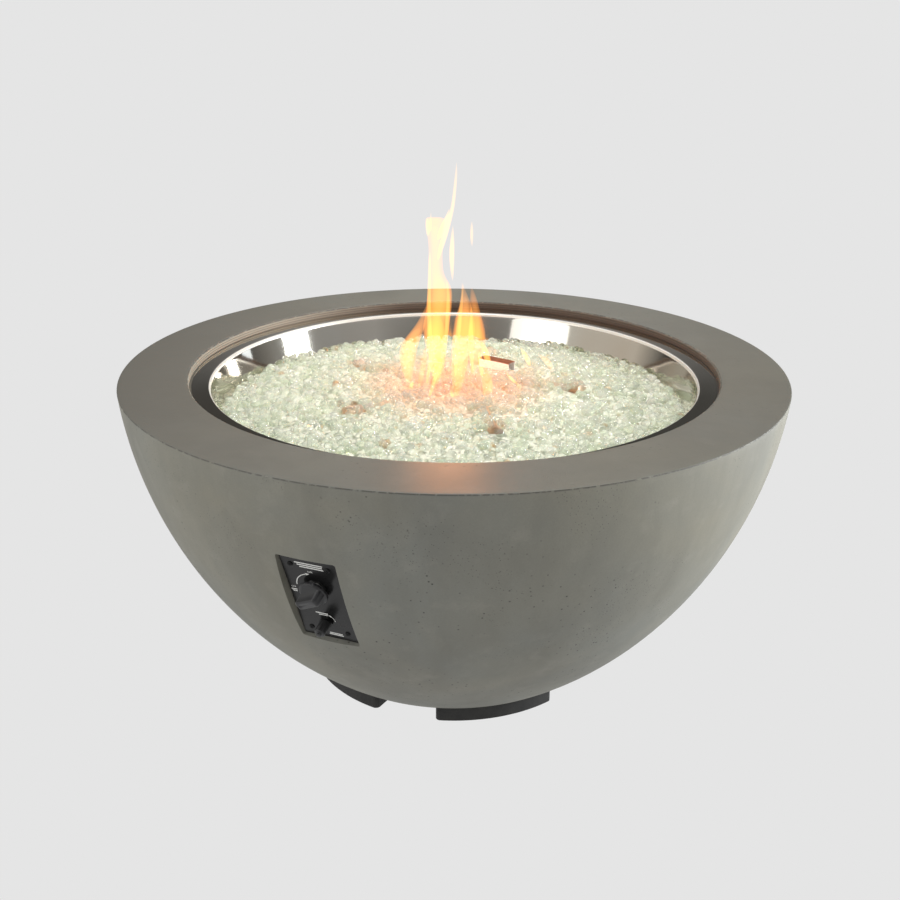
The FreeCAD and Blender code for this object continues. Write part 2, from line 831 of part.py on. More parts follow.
def valve_rotor():
    # Brass plug that the stem turns, with the gas port across it
    plug = rod(rotor_radius, rotor_back, rotor_front, 0, knob_y)
    plug = plug.cut(rod(stem_radius + running_gap, stem_tail - knob_travel - hole_gap, rotor_front, 0, knob_y))
    port_z = rotor_back + rotor_radius / 3
    port = rod_towards(rotor_radius / 4, Vector(-2 * rotor_radius, knob_y, port_z), Vector(1, 0, 0),
                       4 * rotor_radius)
    return on_panel(plug.cut(port))


def d_section(radius, z_from, z_to, flat):
    # Round bar with one flat, on the side of the pointer
    bar = rod(radius, z_from, z_to)
    side = Part.makeBox(2 * radius, 4 * radius, z_to - z_from, Vector(radius - flat, -2 * radius, z_from))
    return bar.cut(side)


def on_knob(shape):
    # Knob pieces are drawn with the pointer along x
    place = Placement(Vector(0, knob_y, 0), Rotation(Vector(0, 0, 1), 180 + grip_angle))
    return on_panel(placed(shape, place))


def valve_stem():
    lower = rod(stem_radius, stem_tail, knob_back)
    collar = rod(collar_radius, collar_front - collar_height, collar_front)
    upper = d_section(stem_radius, knob_back, stem_front, stem_flat)
    return on_knob(lower.fuse(collar).fuse(upper))


def valve_spring():
    gap_low = rotor_front
    gap_high = collar_front - collar_height
    radius = stem_radius + valve_spring_wire
    coil = spring(radius, valve_spring_wire, gap_low, gap_high, valve_spring_turns)
    return on_knob(coil)


def control_knob():
    # Hollow skirt with a tapered shoulder, and a bar grip across it
    skirt_top = knob_back + knob_skirt_height
    ceiling = knob_back + knob_ceiling
    inner = knob_radius - knob_skirt_wall
    skirt = turned([
        rz(stem_radius, ceiling), rz(inner, ceiling), rz(inner, knob_back), rz(knob_radius, knob_back),
        rz(knob_radius, skirt_top - grip_bevel), rz(knob_radius - grip_bevel, skirt_top),
        rz(stem_radius, skirt_top),
    ])
    grip = rounded_block(grip_length, grip_width, ceiling, knob_front, grip_width / 3)
    top_edges = [edge for edge in grip.Edges
                 if edge.BoundBox.ZMin > knob_front - grip_bevel and edge.BoundBox.ZLength < grip_bevel]
    grip = grip.makeChamfer(grip_bevel, top_edges)
    knob = skirt.fuse(grip)
    knob = knob.cut(d_section(stem_radius + seat_gap, ceiling, stem_front + hole_gap, stem_flat))
    mark_end = grip_length / 2 - 2 * grip_bevel
    mark = Part.makeBox(pointer_length, pointer_width, 2 * pointer_depth,
                        Vector(mark_end - pointer_length, -pointer_width / 2, knob_front - pointer_depth))
    return on_knob(knob.cut(mark))


def elbow_places():
    # Middle of each elbow beside the valve, in panel coordinates
    x = valve_width / 2 + elbow_reach
    return [Vector(side * x, knob_y, -port_depth) for side in (-1, 1)]


def valve_elbows():
    elbows = []
    for middle in elbow_places():
        way = -1 if middle.x > 0 else 1
        arm = rod_towards(elbow_radius, middle, Vector(way, 0, 0), elbow_reach)
        knee = Part.makeSphere(elbow_radius, middle)
        leg = rod_towards(elbow_radius, middle, Vector(0, -1, 0), elbow_drop / 2)
        thread = rod_towards(thread_radius, middle - Vector(0, elbow_drop / 2, 0), Vector(0, -1, 0),
                             elbow_drop / 2)
        elbows.append(on_panel(arm.fuse(knee).fuse(leg).fuse(thread)))
    return group(elbows)


def flare_nut():
    # Drawn with the thread end at z = 0 and the line leaving along +z
    reach = elbow_drop - flare_nut_start
    nut = hexagon(flare_nut_flats, -reach, flare_nut_height - reach)
    nut = nut.cut(rod(thread_radius + thread_gap, -reach, 0))
    return nut.cut(rod(line_radius + thread_gap, 0, flare_nut_height))


def aimed(shape, start, direction):
    # Puts the drawing's origin at a point and its +z along a direction
    return placed(shape, Placement(start, Rotation(Vector(0, 0, 1), direction)))


def elbow_ends():
    return [panel_place.multVec(middle - Vector(0, elbow_drop, 0)) for middle in elbow_places()]


def down_the_wall():
    return panel_place.Rotation.multVec(Vector(0, -1, 0))


def mixer_end():
    return Vector(0, -elbow_drop - elbow_radius, orifice_axis)


def inlet_top():
    return Vector(inlet_x, inlet_y, bracket_top() + inlet_hex_height + inlet_thread_above)


def bracket_top():
    return floor_top + bracket_rise


def flare_nuts():
    nuts = [aimed(flare_nut(), end, down_the_wall()) for end in elbow_ends()]
    nuts.append(aimed(flare_nut(), mixer_end(), Vector(0, -1, 0)))
    nuts.append(aimed(flare_nut(), inlet_top(), Vector(0, 0, 1)))
    return group(nuts)


def supply_line():
    # From the inlet fitting up the front wall to the valve's left elbow
    end = elbow_ends()[0]
    start = inlet_top()
    way = down_the_wall()
    points = [start, start + Vector(0, 0, 48), start + Vector(2, -40, 88), start + Vector(4, -105, 112),
              start + Vector(4, -185, 118), start + Vector(2, -265, 116), end + way * 130 + Vector(0, 42, 12),
              end + way * 78 + Vector(0, 8, 2), end + way * 36, end]
    return routed("supply_line", points, line_radius)


def burner_line():
    # From the valve's right elbow down, then back to the orifice holder
    start = elbow_ends()[1]
    way = down_the_wall()
    end = mixer_end()
    points = [start, start + way * 40, start + way * 76 + Vector(0, 14, 3), start + way * 100 + Vector(-1, 66, 6),
              start + way * 98 + Vector(-6, 150, 2), end + Vector(16, -138, -10), end + Vector(0, -62, 0), end]
    return routed("burner_line", points, line_radius)


def thermo_end():
    return panel_place.multVec(Vector(0, knob_y, valve_back - magnet_height - thermo_nut_height))


def thermo_nut():
    back = valve_back - magnet_height
    return on_panel(hexagon(thermo_nut_flats, back - thermo_nut_height, back, 0, knob_y))


def pilot_foot(x):
    centre = polar(pilot_radius, pilot_azimuth)
    along = polar(1, pilot_azimuth - 90)
    return centre + along * x + Vector(0, 0, pan_floor_bottom - ceramic_below_pan)


def under_pan(start, end, route):
    # Points of a lead under the pan: share of the way, step aside and drop below the pan
    way = end - start
    return [Vector(start.x + way.x * share + aside, start.y + way.y * share, pan_floor_bottom - drop)
            for share, aside, drop in route]


def thermocouple_lead():
    start = thermo_end()
    inward = panel_place.Rotation.multVec(Vector(0, 0, -1))
    end = pilot_foot(pilot_spacing)
    route = [(0.11, -2, 26), (0.2, 4, 30), (0.31, 10, 38), (0.42, 16, 48), (0.53, 19, 54), (0.63, 20, 60),
             (0.74, 17, 65), (0.84, 12, 66)]
    points = [start, start + inward * 26] + under_pan(start, end, route)
    points += [end + Vector(4, -50, -33), end + Vector(1, -16, -36), end + Vector(0, 0, -16), end]
    return routed("thermocouple_lead", points, thermocouple_radius / 2)


def igniter_end():
    return panel_place.multVec(Vector(0, igniter_y, igniter_back))


def igniter_lead():
    start = igniter_end()
    inward = panel_place.Rotation.multVec(Vector(0, 0, -1))
    end = pilot_foot(-pilot_spacing)
    route = [(0.12, -5, 82), (0.22, -14, 68), (0.32, -23, 58), (0.43, -35, 53), (0.53, -45, 53),
             (0.64, -49, 58), (0.75, -45, 62)]
    points = [start, start + inward * 30] + under_pan(start, end, route)
    points += [end + Vector(-20, -82, -42), end + Vector(-8, -36, -48), end + Vector(0, 0, -28), end]
    return routed("igniter_lead", points, thermocouple_radius / 2)


def igniter_body():
    back = rod(igniter_radius, igniter_back, -plate_thickness, 0, igniter_y)
    neck = rod(igniter_neck_radius, -plate_thickness, igniter_neck_front, 0, igniter_y)
    bore = rod(battery_radius + battery_clearance, battery_back(), igniter_neck_front, 0, igniter_y)
    return on_panel(back.fuse(neck).cut(bore))


def battery_back():
    return igniter_neck_front - battery_clearance - battery_nub_height - battery_length


def igniter_battery():
    cell = rod(battery_radius, battery_back(), battery_back() + battery_length, 0, igniter_y)
    nub_z = battery_back() + battery_length
    nub = rod(battery_nub_radius, nub_z, nub_z + battery_nub_height, 0, igniter_y)
    return on_panel(cell.fuse(nub))


def igniter_nut():
    nut = hexagon(igniter_nut_flats, 0, igniter_nut_height, 0, igniter_y)
    return on_panel(nut.cut(rod(igniter_neck_radius + thread_gap, 0, igniter_nut_height, 0, igniter_y)))


def igniter_cap():
    # Screw cap over the neck, with a chamber for the button and its spring
    chamber_top = cap_front - cap_end_wall
    thread_top = chamber_top - cap_chamber_length
    cap = turned([
        rz(igniter_neck_radius + thread_gap, cap_back), rz(cap_radius, cap_back),
        rz(cap_radius, cap_front - 1.0), rz(cap_radius - 1.0, cap_front),
        rz(button_radius + running_gap, cap_front), rz(button_radius + running_gap, chamber_top),
        rz(cap_chamber_radius, chamber_top), rz(cap_chamber_radius, thread_top),
        rz(igniter_neck_radius + thread_gap, thread_top),
    ])
    cap.translate(Vector(0, igniter_y, 0))
    return on_panel(cap)


def igniter_button():
    flange_top_z = cap_front - cap_end_wall - hole_gap / 2
    flange = rod(button_flange_radius, flange_top_z - button_flange_height, flange_top_z, 0, igniter_y)
    post = rod(button_radius, flange_top_z, cap_front + button_proud, 0, igniter_y)
    return on_panel(flange.fuse(post))


def igniter_spring():
    low = battery_back() + battery_length + battery_nub_height
    high = cap_front - cap_end_wall - hole_gap / 2 - button_flange_height
    coil = spring(button_radius - igniter_spring_wire, igniter_spring_wire, low, high, igniter_spring_turns)
    coil.translate(Vector(0, igniter_y, 0))
    return on_panel(coil)


def inlet_bracket():
    # Stepped steel strip: foot on the floor of the bowl, upright, and a shelf over the hole
    shelf_top = bracket_top()
    chain = [rz(bracket_foot_start + bracket_foot_length, floor_top),
             rz(bracket_foot_start, floor_top), rz(bracket_foot_start, shelf_top - bracket_sheet),
             rz(inlet_y - bracket_reach / 2, shelf_top - bracket_sheet)]
    face = bent_sheet(chain[::-1], [bracket_bend, bracket_bend + bracket_sheet], bracket_sheet)
    strip = face.extrude(Vector(0, bracket_width, 0))
    strip.translate(Vector(0, -bracket_width / 2, 0))
    strip.rotate(Vector(0, 0, 0), Vector(0, 0, 1), 90)
    strip.translate(Vector(inlet_x, 0, 0))
    strip = strip.cut(rod(inlet_shank_radius + hole_gap, floor_top, shelf_top + bracket_sheet, inlet_x, inlet_y))
    for x, y in bracket_screw_places():
        strip = strip.cut(rod(bracket_screw_radius + hole_gap, floor_top, floor_top + 2 * bracket_sheet, x, y))
    return strip


def bracket_screws():
    screws = []
    seat = floor_top + bracket_sheet
    for x, y in bracket_screw_places():
        shank = rod(bracket_screw_radius, floor_top - bracket_screw_length + hole_gap, seat, x, y)
        head = Part.makeCone(bracket_screw_head_radius, bracket_screw_head_radius * 0.7,
                             bracket_screw_head_height, Vector(x, y, seat))
        screws.append(shank.fuse(head))
    return group(screws)


def gas_inlet_fitting():
    # Bulkhead flare union: hose thread below, shank through the shelf, hexagon and line thread on top
    shelf_top = bracket_top()
    low = rod(inlet_thread_radius, shelf_top - inlet_thread_below, shelf_top, inlet_x, inlet_y)
    shank = rod(inlet_shank_radius, shelf_top - inlet_shank_below, shelf_top, inlet_x, inlet_y)
    middle = hexagon(inlet_hex_flats, shelf_top, shelf_top + inlet_hex_height, inlet_x, inlet_y)
    high = rod(thread_radius, shelf_top + inlet_hex_height, inlet_top().z, inlet_x, inlet_y)
    return low.fuse(shank).fuse(middle).fuse(high)


def inlet_locknut():
    top = bracket_top() - bracket_sheet
    nut = hexagon(inlet_hex_flats, top - inlet_nut_height, top, inlet_x, inlet_y)
    return nut.cut(rod(inlet_shank_radius + thread_gap, top - inlet_nut_height, top, inlet_x, inlet_y))


def all_parts():
    parts = {
        "concrete_bowl": concrete_bowl(),
        "base_bolts": base_bolts(),
        "base_inserts": base_inserts(),
        "burner_pan": burner_pan(),
        "burner_hub": burner_hub(),
        "burner_locknut": burner_locknut(),
        "air_mixer": air_mixer(),
        "burner_elbow": burner_elbow(),
        "fire_glass": fire_glass(),
        "pilot_hood": pilot_hood(),
        "electrode_ceramic": electrode_ceramic(),
        "electrode_rod": electrode_rod(),
        "thermocouple": thermocouple(),
        "control_plate": control_plate(),
        "plate_screws": plate_screws(),
        "plate_anchors": plate_anchors(),
        "valve_body": valve_body(),
        "valve_nut": valve_nut(),
        "valve_rotor": valve_rotor(),
        "valve_stem": valve_stem(),
        "valve_spring": valve_spring(),
        "control_knob": control_knob(),
        "valve_elbows": valve_elbows(),
        "flare_nuts": flare_nuts(),
        "supply_line": supply_line(),
        "burner_line": burner_line(),
        "thermo_nut": thermo_nut(),
        "thermocouple_lead": thermocouple_lead(),
        "igniter_lead": igniter_lead(),
        "igniter_body": igniter_body(),
        "igniter_battery": igniter_battery(),
        "igniter_nut": igniter_nut(),
        "igniter_cap": igniter_cap(),
        "igniter_button": igniter_button(),
        "igniter_spring": igniter_spring(),
        "inlet_bracket": inlet_bracket(),
        "bracket_screws": bracket_screws(),
        "gas_inlet_fitting": gas_inlet_fitting(),
        "inlet_locknut": inlet_locknut(),
    }
    for k in range(foot_count):
        parts["base_segment_%d" % (k + 1)] = base_segment(k)
    for k in range(arm_count):
        parts["burner_arm_%d" % (k + 1)] = burner_arm(k)
    return parts


os.makedirs("parts", exist_ok=True)
for name, shape in all_parts().items():
    valid = shape.isValid() and all(solid.Volume > 0 for solid in shape.Solids)
    print(name, "solids", len(shape.Solids), "volume", round(shape.Volume), "" if valid else "NOT VALID")
    shape.exportStep("parts/%s.step" % name)
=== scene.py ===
import json
import random
from math import atan2, cos, hypot, pi, radians, sin, sqrt, tan
import bpy
from mathutils import Matrix, Vector


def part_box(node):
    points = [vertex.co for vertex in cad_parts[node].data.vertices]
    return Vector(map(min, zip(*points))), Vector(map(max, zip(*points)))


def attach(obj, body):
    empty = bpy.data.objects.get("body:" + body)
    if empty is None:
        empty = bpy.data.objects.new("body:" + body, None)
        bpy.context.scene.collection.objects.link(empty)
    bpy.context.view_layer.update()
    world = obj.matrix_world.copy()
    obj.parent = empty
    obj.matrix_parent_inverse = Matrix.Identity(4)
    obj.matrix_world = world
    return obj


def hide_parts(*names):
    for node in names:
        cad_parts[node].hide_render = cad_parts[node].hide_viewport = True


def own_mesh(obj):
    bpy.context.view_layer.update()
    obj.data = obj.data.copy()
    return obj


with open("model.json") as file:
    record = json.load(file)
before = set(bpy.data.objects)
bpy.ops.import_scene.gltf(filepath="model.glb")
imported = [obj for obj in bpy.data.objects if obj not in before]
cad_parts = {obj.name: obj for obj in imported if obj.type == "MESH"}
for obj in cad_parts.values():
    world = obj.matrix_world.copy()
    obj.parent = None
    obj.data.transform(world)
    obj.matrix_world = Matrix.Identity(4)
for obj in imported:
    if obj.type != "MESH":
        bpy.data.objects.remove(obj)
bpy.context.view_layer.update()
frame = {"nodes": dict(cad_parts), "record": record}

mm = 0.001
viewYaw = radians(22.6)  # the photograph's side, turned from the front about the upright axis
print("frame loaded", len(frame["nodes"]), "nodes")


# Shader arithmetic: a wire is one output socket, and sums on wires add Math nodes

class Wire:
    def __init__(self, finish, socket):
        self.finish = finish
        self.socket = socket

    def math(self, operation, *values):
        return self.finish.add("ShaderNodeMath", {"operation": operation}, dict(enumerate(values)))

    def __add__(self, other):
        return self.math("ADD", self, other)

    def __radd__(self, other):
        return self.math("ADD", other, self)

    def __sub__(self, other):
        return self.math("SUBTRACT", self, other)

    def __rsub__(self, other):
        return self.math("SUBTRACT", other, self)

    def __mul__(self, other):
        return self.math("MULTIPLY", self, other)

    def __rmul__(self, other):
        return self.math("MULTIPLY", other, self)

    def __pow__(self, other):
        return self.math("POWER", self, other)


class Finish:
    def __init__(self, name, world=False):
        self.material = bpy.data.worlds.new(name) if world else bpy.data.materials.new(name)
        self.material.use_nodes = True
        self.tree = self.material.node_tree
        self.tree.nodes.clear()
        self.output = self.tree.nodes.new("ShaderNodeOutputWorld" if world else "ShaderNodeOutputMaterial")
        if world:
            bpy.context.scene.world = self.material

    def add(self, kind, settings=None, sockets=None, out=0):
        node = self.tree.nodes.new(kind)
        for name, value in (settings or {}).items():
            setattr(node, name, value)
        for name, value in (sockets or {}).items():
            if isinstance(value, Wire):
                self.tree.links.new(value.socket, node.inputs[name])
            else:
                node.inputs[name].default_value = value
        return Wire(self, node.outputs[out])

    def place(self, scale=(1, 1, 1)):
        spot = self.add("ShaderNodeTexCoord", out="Object")
        if scale == (1, 1, 1):
            return spot
        return self.add("ShaderNodeMapping", sockets={"Vector": spot, "Scale": scale})

    def noise(self, scale, detail=3.0, rough=0.5, at=None, warp=0.0):
        return self.add("ShaderNodeTexNoise", sockets={
            "Vector": at or self.place(), "Scale": scale, "Detail": detail, "Roughness": rough,
            "Distortion": warp})

    def patches(self, scale, detail, rough, low, high):
        return self.between(self.noise(scale, detail, rough), low, high)

    def dots(self, scale):
        return self.add("ShaderNodeTexVoronoi", sockets={"Vector": self.place(), "Scale": scale},
                        out="Distance")

    def between(self, value, low, high, start=0.0, end=1.0):
        return self.add("ShaderNodeMapRange", sockets={
            "Value": value, "From Min": low, "From Max": high, "To Min": start, "To Max": end})

    def mixColor(self, share, first, second):
        return self.add("ShaderNodeMix", {"data_type": "RGBA"}, {0: share, 6: first, 7: second}, out=2)

    def axis(self, name):
        return self.add("ShaderNodeSeparateXYZ", sockets={"Vector": self.place()}, out=name)

    def radius(self):
        across, along = self.axis("X"), self.axis("Y")
        return (across * across + along * along) ** 0.5

    def bump(self, height, strength, depth):
        return self.add("ShaderNodeBump",
                        sockets={"Height": height, "Strength": strength, "Distance": depth})

    def shade(self, **values):
        # Principled shader with its own sockets set by name, underscores for spaces
        shader = self.add("ShaderNodeBsdfPrincipled",
                          sockets={name.replace("_", " "): value for name, value in values.items()})
        self.tree.links.new(shader.socket, self.output.inputs["Surface"])
        return self.material


def tone(red, green, blue):
    # A colour as seen on a screen, from 0 to 255, turned into the shader's linear values
    def straight(value):
        share = value / 255
        return share / 12.92 if share <= 0.04045 else ((share + 0.055) / 1.055) ** 2.4
    return (straight(red), straight(green), straight(blue), 1)


# Modelling helpers

def deselectAll():
    if bpy.context.object and bpy.context.object.mode != "OBJECT":
        bpy.ops.object.mode_set(mode="OBJECT")
    bpy.ops.object.select_all(action="DESELECT")


def pick(piece):
    deselectAll()
    piece.select_set(True)
    bpy.context.view_layer.objects.active = piece
    return piece


def beginEdit(piece):
    pick(piece)
    bpy.ops.object.mode_set(mode="EDIT")
    bpy.ops.mesh.select_all(action="SELECT")


def endEdit():
    bpy.ops.object.mode_set(mode="OBJECT")


def closeEdit(gap=0):
    # Merges points closer than the gap, turns the faces outwards and leaves edit mode
    bpy.ops.mesh.select_all(action="SELECT")
    if gap:
        bpy.ops.mesh.remove_doubles(threshold=gap)
    bpy.ops.mesh.normals_make_consistent(inside=False)
    endEdit()


def extrudeBy(x, y, z):
    bpy.ops.mesh.extrude_region_move(TRANSFORM_OT_translate={"value": (x, y, z)})


def applyPlace():
    bpy.ops.object.transform_apply(location=True, rotation=True, scale=True)


def named(name):
    piece = bpy.context.object
    piece.name = name
    piece.data.name = name
    return piece


def newPiece(name, primitive, **settings):
    deselectAll()
    primitive(**settings)
    return named(name)


def onePoint(name):
    # A single point at the origin, left in edit mode to be drawn out into a line
    piece = newPiece(name, bpy.ops.mesh.primitive_plane_add, size=mm)
    beginEdit(piece)
    bpy.ops.mesh.merge(type="CENTER")
    return piece


def joined(first, *others):
    pick(first)
    for other in others:
        other.select_set(True)
    bpy.ops.object.join()
    return first


def smooth(piece, angle):
    pick(piece)
    bpy.ops.object.shade_smooth_by_angle(angle=radians(angle))


def settle(piece, place):
    # Puts a finished piece where it belongs and leaves its object at the origin
    pick(piece)
    piece.matrix_world = place
    applyPlace()


def modify(piece, kind, **settings):
    pick(piece)
    modifier = piece.modifiers.new(kind.lower(), kind)
    for name, value in settings.items():
        setattr(modifier, name, value)
    bpy.ops.object.modifier_apply(modifier=modifier.name)


def cutWith(piece, *cutters):
    for cutter in cutters:
        modify(piece, "BOOLEAN", object=cutter, operation="DIFFERENCE", solver="EXACT")
        bpy.data.objects.remove(cutter)


def coat(piece, material):
    piece.data.materials.clear()
    piece.data.materials.append(material)


def spinSection(name, section, steps):
    # One point walks round the section, then the line is spun about the upright axis
    piece = onePoint(name)
    startR, startZ = section[0]
    bpy.ops.transform.translate(value=(startR, 0, startZ))
    for (fromR, fromZ), (toR, toZ) in zip(section, section[1:]):
        extrudeBy(toR - fromR, 0, toZ - fromZ)
    bpy.ops.mesh.select_all(action="SELECT")
    bpy.ops.mesh.spin(steps=steps, angle=2 * pi, center=(0, 0, 0), axis=(0, 0, 1))
    closeEdit(0.01 * mm)
    return piece


def arcPoints(centre, radius, start, end, count):
    # Points of a round stretch of a section; angles in degrees from the outward direction
    points = []
    for k in range(count + 1):
        angle = radians(start + (end - start) * k / count)
        points.append((centre[0] + radius * cos(angle), centre[1] + radius * sin(angle)))
    return points


def roundedSlab(name, width, height, corner, back, front, spread=0.0):
    # A plate with round corners between two levels; spread widens its front
    slab = newPiece(name, bpy.ops.mesh.primitive_plane_add, size=1)
    beginEdit(slab)
    bpy.ops.transform.resize(value=(width, height, 1))
    bpy.ops.mesh.bevel(offset=corner, segments=5, affect="VERTICES")
    bpy.ops.transform.translate(value=(0, 0, back))
    extrudeBy(0, 0, front - back)
    if spread:
        bpy.ops.transform.resize(value=((width + spread) / width, (height + spread) / height, 1))
    closeEdit()
    return slab


def smoothTwin(node, material):
    # The node's own solid, merged and shaded smooth, in the place of its loose triangles
    source = bpy.data.objects[node]
    twin = source.copy()
    twin.data = source.data.copy()
    bpy.context.collection.objects.link(twin)
    twin.parent = None
    twin.matrix_world = source.matrix_world
    twin.name = node + "_finished"
    beginEdit(twin)
    bpy.ops.mesh.remove_doubles(threshold=0.002 * mm)
    endEdit()
    smooth(twin, 30)
    coat(twin, material)
    return twin


# The panel's own frame, from the axis that the knob turns on: x right, y up the plate, z out

panelSizes = {"knobUp": 22 * mm, "igniterUp": -45 * mm, "screwRight": 28 * mm, "screwUp": 65.75 * mm}


def jointEntry(name):
    return next(entry for entry in frame["record"]["behaviour"]["joints"] if entry["name"] == name)


def panelPlace():
    turn = jointEntry("knob_turn")
    out = Vector(turn["axis"]).normalized()
    across = Vector((1, 0, 0))
    upPlate = out.cross(across)
    centre = Vector(turn["pos_m"]) - upPlate * panelSizes["knobUp"]
    return Matrix((
        (across.x, upPlate.x, out.x, centre.x),
        (across.y, upPlate.y, out.y, centre.y),
        (across.z, upPlate.z, out.z, centre.z),
        (0, 0, 0, 1)))


onPanel = panelPlace()
screwSpots = [(side * panelSizes["screwRight"], level * panelSizes["screwUp"])
              for side in (-1, 1) for level in (-1, 1)]


# Finishes

def concreteFinish():
    # hole is a near-black tone for painted shade: in the pits and pinholes, along the outer edge and in the
    # wall's ridges
    look = {"warm": tone(128, 125, 111), "cool": tone(117, 118, 111), "dark": tone(92, 89, 80),
            "pale": tone(146, 144, 133), "hole": tone(40, 38, 34), "wall": tone(78, 66, 56),
            "wallLit": tone(150, 145, 130)}
    levels = {"edgeShadeFoot": 514.2 * mm, "rimTop": 516.2 * mm, "edgeShadeEnd": 516.5 * mm, "flat": 516.9 * mm,
              "wallTop": 513.5 * mm, "wallRadius": 428 * mm, "insideFrom": 400 * mm, "insideFull": 450 * mm}
    ridgeRate = 1500  # radians of the ripple to a metre of height
    f = Finish("cast_concrete")
    cloud = f.noise(2.6, 4, 0.6, warp=0.6)
    base = f.mixColor(f.between(cloud, 0.35, 0.65), look["warm"], look["cool"])
    mottle = f.between(f.noise(9, 6, 0.62, at=f.place((1, 1, 0.35)), warp=0.4), 0.42, 0.72)
    base = f.mixColor(mottle * 0.45, base, look["dark"])
    base = f.mixColor(f.patches(24, 5, 0.6, 0.55, 0.75) * 0.28, base, look["pale"])
    grain = f.noise(420, 2, 0.6)
    base = f.mixColor(f.between(grain, 0.3, 0.7) * 0.16, base, look["dark"])
    # pits come in crowds, and pinholes in between, painted dark as the shade inside them
    pits = f.between(f.dots(90), 0.16, 0.08) * f.patches(5.5, 2, 0.5, 0.5, 0.66)
    pinholes = f.between(f.dots(210), 0.17, 0.1) * f.patches(9, 2, 0.5, 0.52, 0.6)
    base = f.mixColor(pits + pinholes * 0.7, base, look["hole"])
    # painted shade: a dark line, broken in places, runs round the outer edge where the rim turns down
    height = f.axis("Z")
    line = f.between(height, levels["edgeShadeFoot"], levels["rimTop"])
    line = line * f.between(height, levels["flat"], levels["edgeShadeEnd"])
    base = f.mixColor(line * f.patches(160, 3, 0.6, 0.38, 0.5) * 0.75, base, look["hole"])
    # painted shade: the opening's wall is darker brown, paler on the left where it is painted as lit, and
    # its ridges are bumped and drawn dark as painted shade
    radius = f.radius()
    inside = radius.math("LESS_THAN", radius, levels["wallRadius"])
    inside = inside * f.between(height, levels["rimTop"], levels["wallTop"])
    inside = inside * f.between(height, levels["insideFrom"], levels["insideFull"])
    side = f.axis("X") * cos(viewYaw) + f.axis("Y") * sin(viewYaw)
    wall = f.mixColor(f.between(side, -0.1, -0.32), look["wall"], look["wallLit"])
    base = f.mixColor(inside * 0.85, base, wall)
    turns = height * ridgeRate
    ridges = f.between(turns.math("SINE", turns), 0.55, 0.95) * inside
    base = f.mixColor(ridges * 0.6, base, look["hole"])
    # painted shade: the flat rim is darker, most of all at its two sides, where it catches less light
    top = f.between(height, levels["rimTop"], levels["flat"])
    rimSideShade = f.between(side, -0.2, -0.5, 0.5, 0.95) + f.between(side, 0.25, 0.5) * 0.2
    base = f.mixColor(top * rimSideShade, base, look["dark"])
    depth = f.noise(60, 5, 0.6) * 0.35 + grain * 0.12 - ridges * 0.4 - pits * 0.9 - pinholes * 0.5
    rough = f.between(cloud, 0.3, 0.7, 0.58, 0.7) - top * 0.26
    return f.shade(Base_Color=base, Roughness=rough, Normal=f.bump(depth, 0.45, 0.8 * mm),
                   Specular_IOR_Level=0.5)


def panSteelFinish():
    # Polished spun steel, a little wavy and browned by heat, with a brushed lip painted pale and less
    # metallic as a painted highlight line
    look = {"steel": tone(205, 201, 192), "heat": tone(190, 172, 152), "lip": tone(232, 229, 220)}
    lipHighlightRadii = (395 * mm, 394.2 * mm)
    lipHighlightLevels = (496.8 * mm, 498 * mm)
    f = Finish("pan_steel")
    wave = f.noise(7, 2, 0.5, at=f.place((1, 1, 2.5)))
    heat = f.patches(3.2, 3, 0.5, 0.45, 0.7)
    brush = f.noise(900, 2, 0.5, at=f.place((1, 1, 0.02)))
    base = f.mixColor(heat * 0.6, look["steel"], look["heat"])
    lip = f.between(f.radius(), *lipHighlightRadii) * f.between(f.axis("Z"), *lipHighlightLevels)
    return f.shade(Base_Color=f.mixColor(lip, base, look["lip"]), Metallic=1.0 - lip * 0.55,
                   Roughness=f.between(brush, 0.2, 0.8, 0.04, 0.09) + lip * 0.25,
                   Normal=f.bump(wave, 0.12, 1.2 * mm))


def hoodSteelFinish():
    # The hood's walls stay bright, and its top has turned brown above the pilot flame
    look = {"bright": tone(254, 252, 248), "brown": tone(132, 78, 46)}
    topFrom = 495.2 * mm
    fade = 0.6 * mm
    f = Finish("hood_steel")
    brush = f.noise(700, 2, 0.5, at=f.place((0.05, 1, 1)))
    patch = f.noise(45, 3, 0.5)
    heat = f.between(f.axis("Z") + (patch - 0.5) * 1.5 * mm, topFrom, topFrom + fade)
    return f.shade(Base_Color=f.mixColor(heat, look["bright"], look["brown"]), Metallic=0.1,
                   Roughness=f.between(brush, 0.2, 0.8, 0.22, 0.34), Normal=f.bump(brush, 0.1, 0.1 * mm))


fireGlowSpot = {"reach": 175 * mm, "core": 60 * mm}  # how far from the middle the flames' warm light is painted on the glass

# Brown patches on the glass, as right, away from the camera and reach, in millimetres on the photo's plan
sootSpots = {"right": (126, 46, 9), "leftOuter": (-180, -106, 8), "leftInner": (-156, -108, 8),
             "amberLeft": (-233, -92, 5), "amberLow": (-222, -136, 5)}
sootLevel = 487 * mm
sootFade = 3


def paintedFireGlow(f, base, glowTone):
    # Painted light: glass close to the flames is painted a warm tan for the flames' glow, fading outwards
    # in patches
    glowShare = f.between(f.radius() + (f.noise(30, 3, 0.6) - 0.5) * 0.16, fireGlowSpot["reach"], fireGlowSpot["core"])
    return f.mixColor(glowShare * 0.75, base, glowTone)


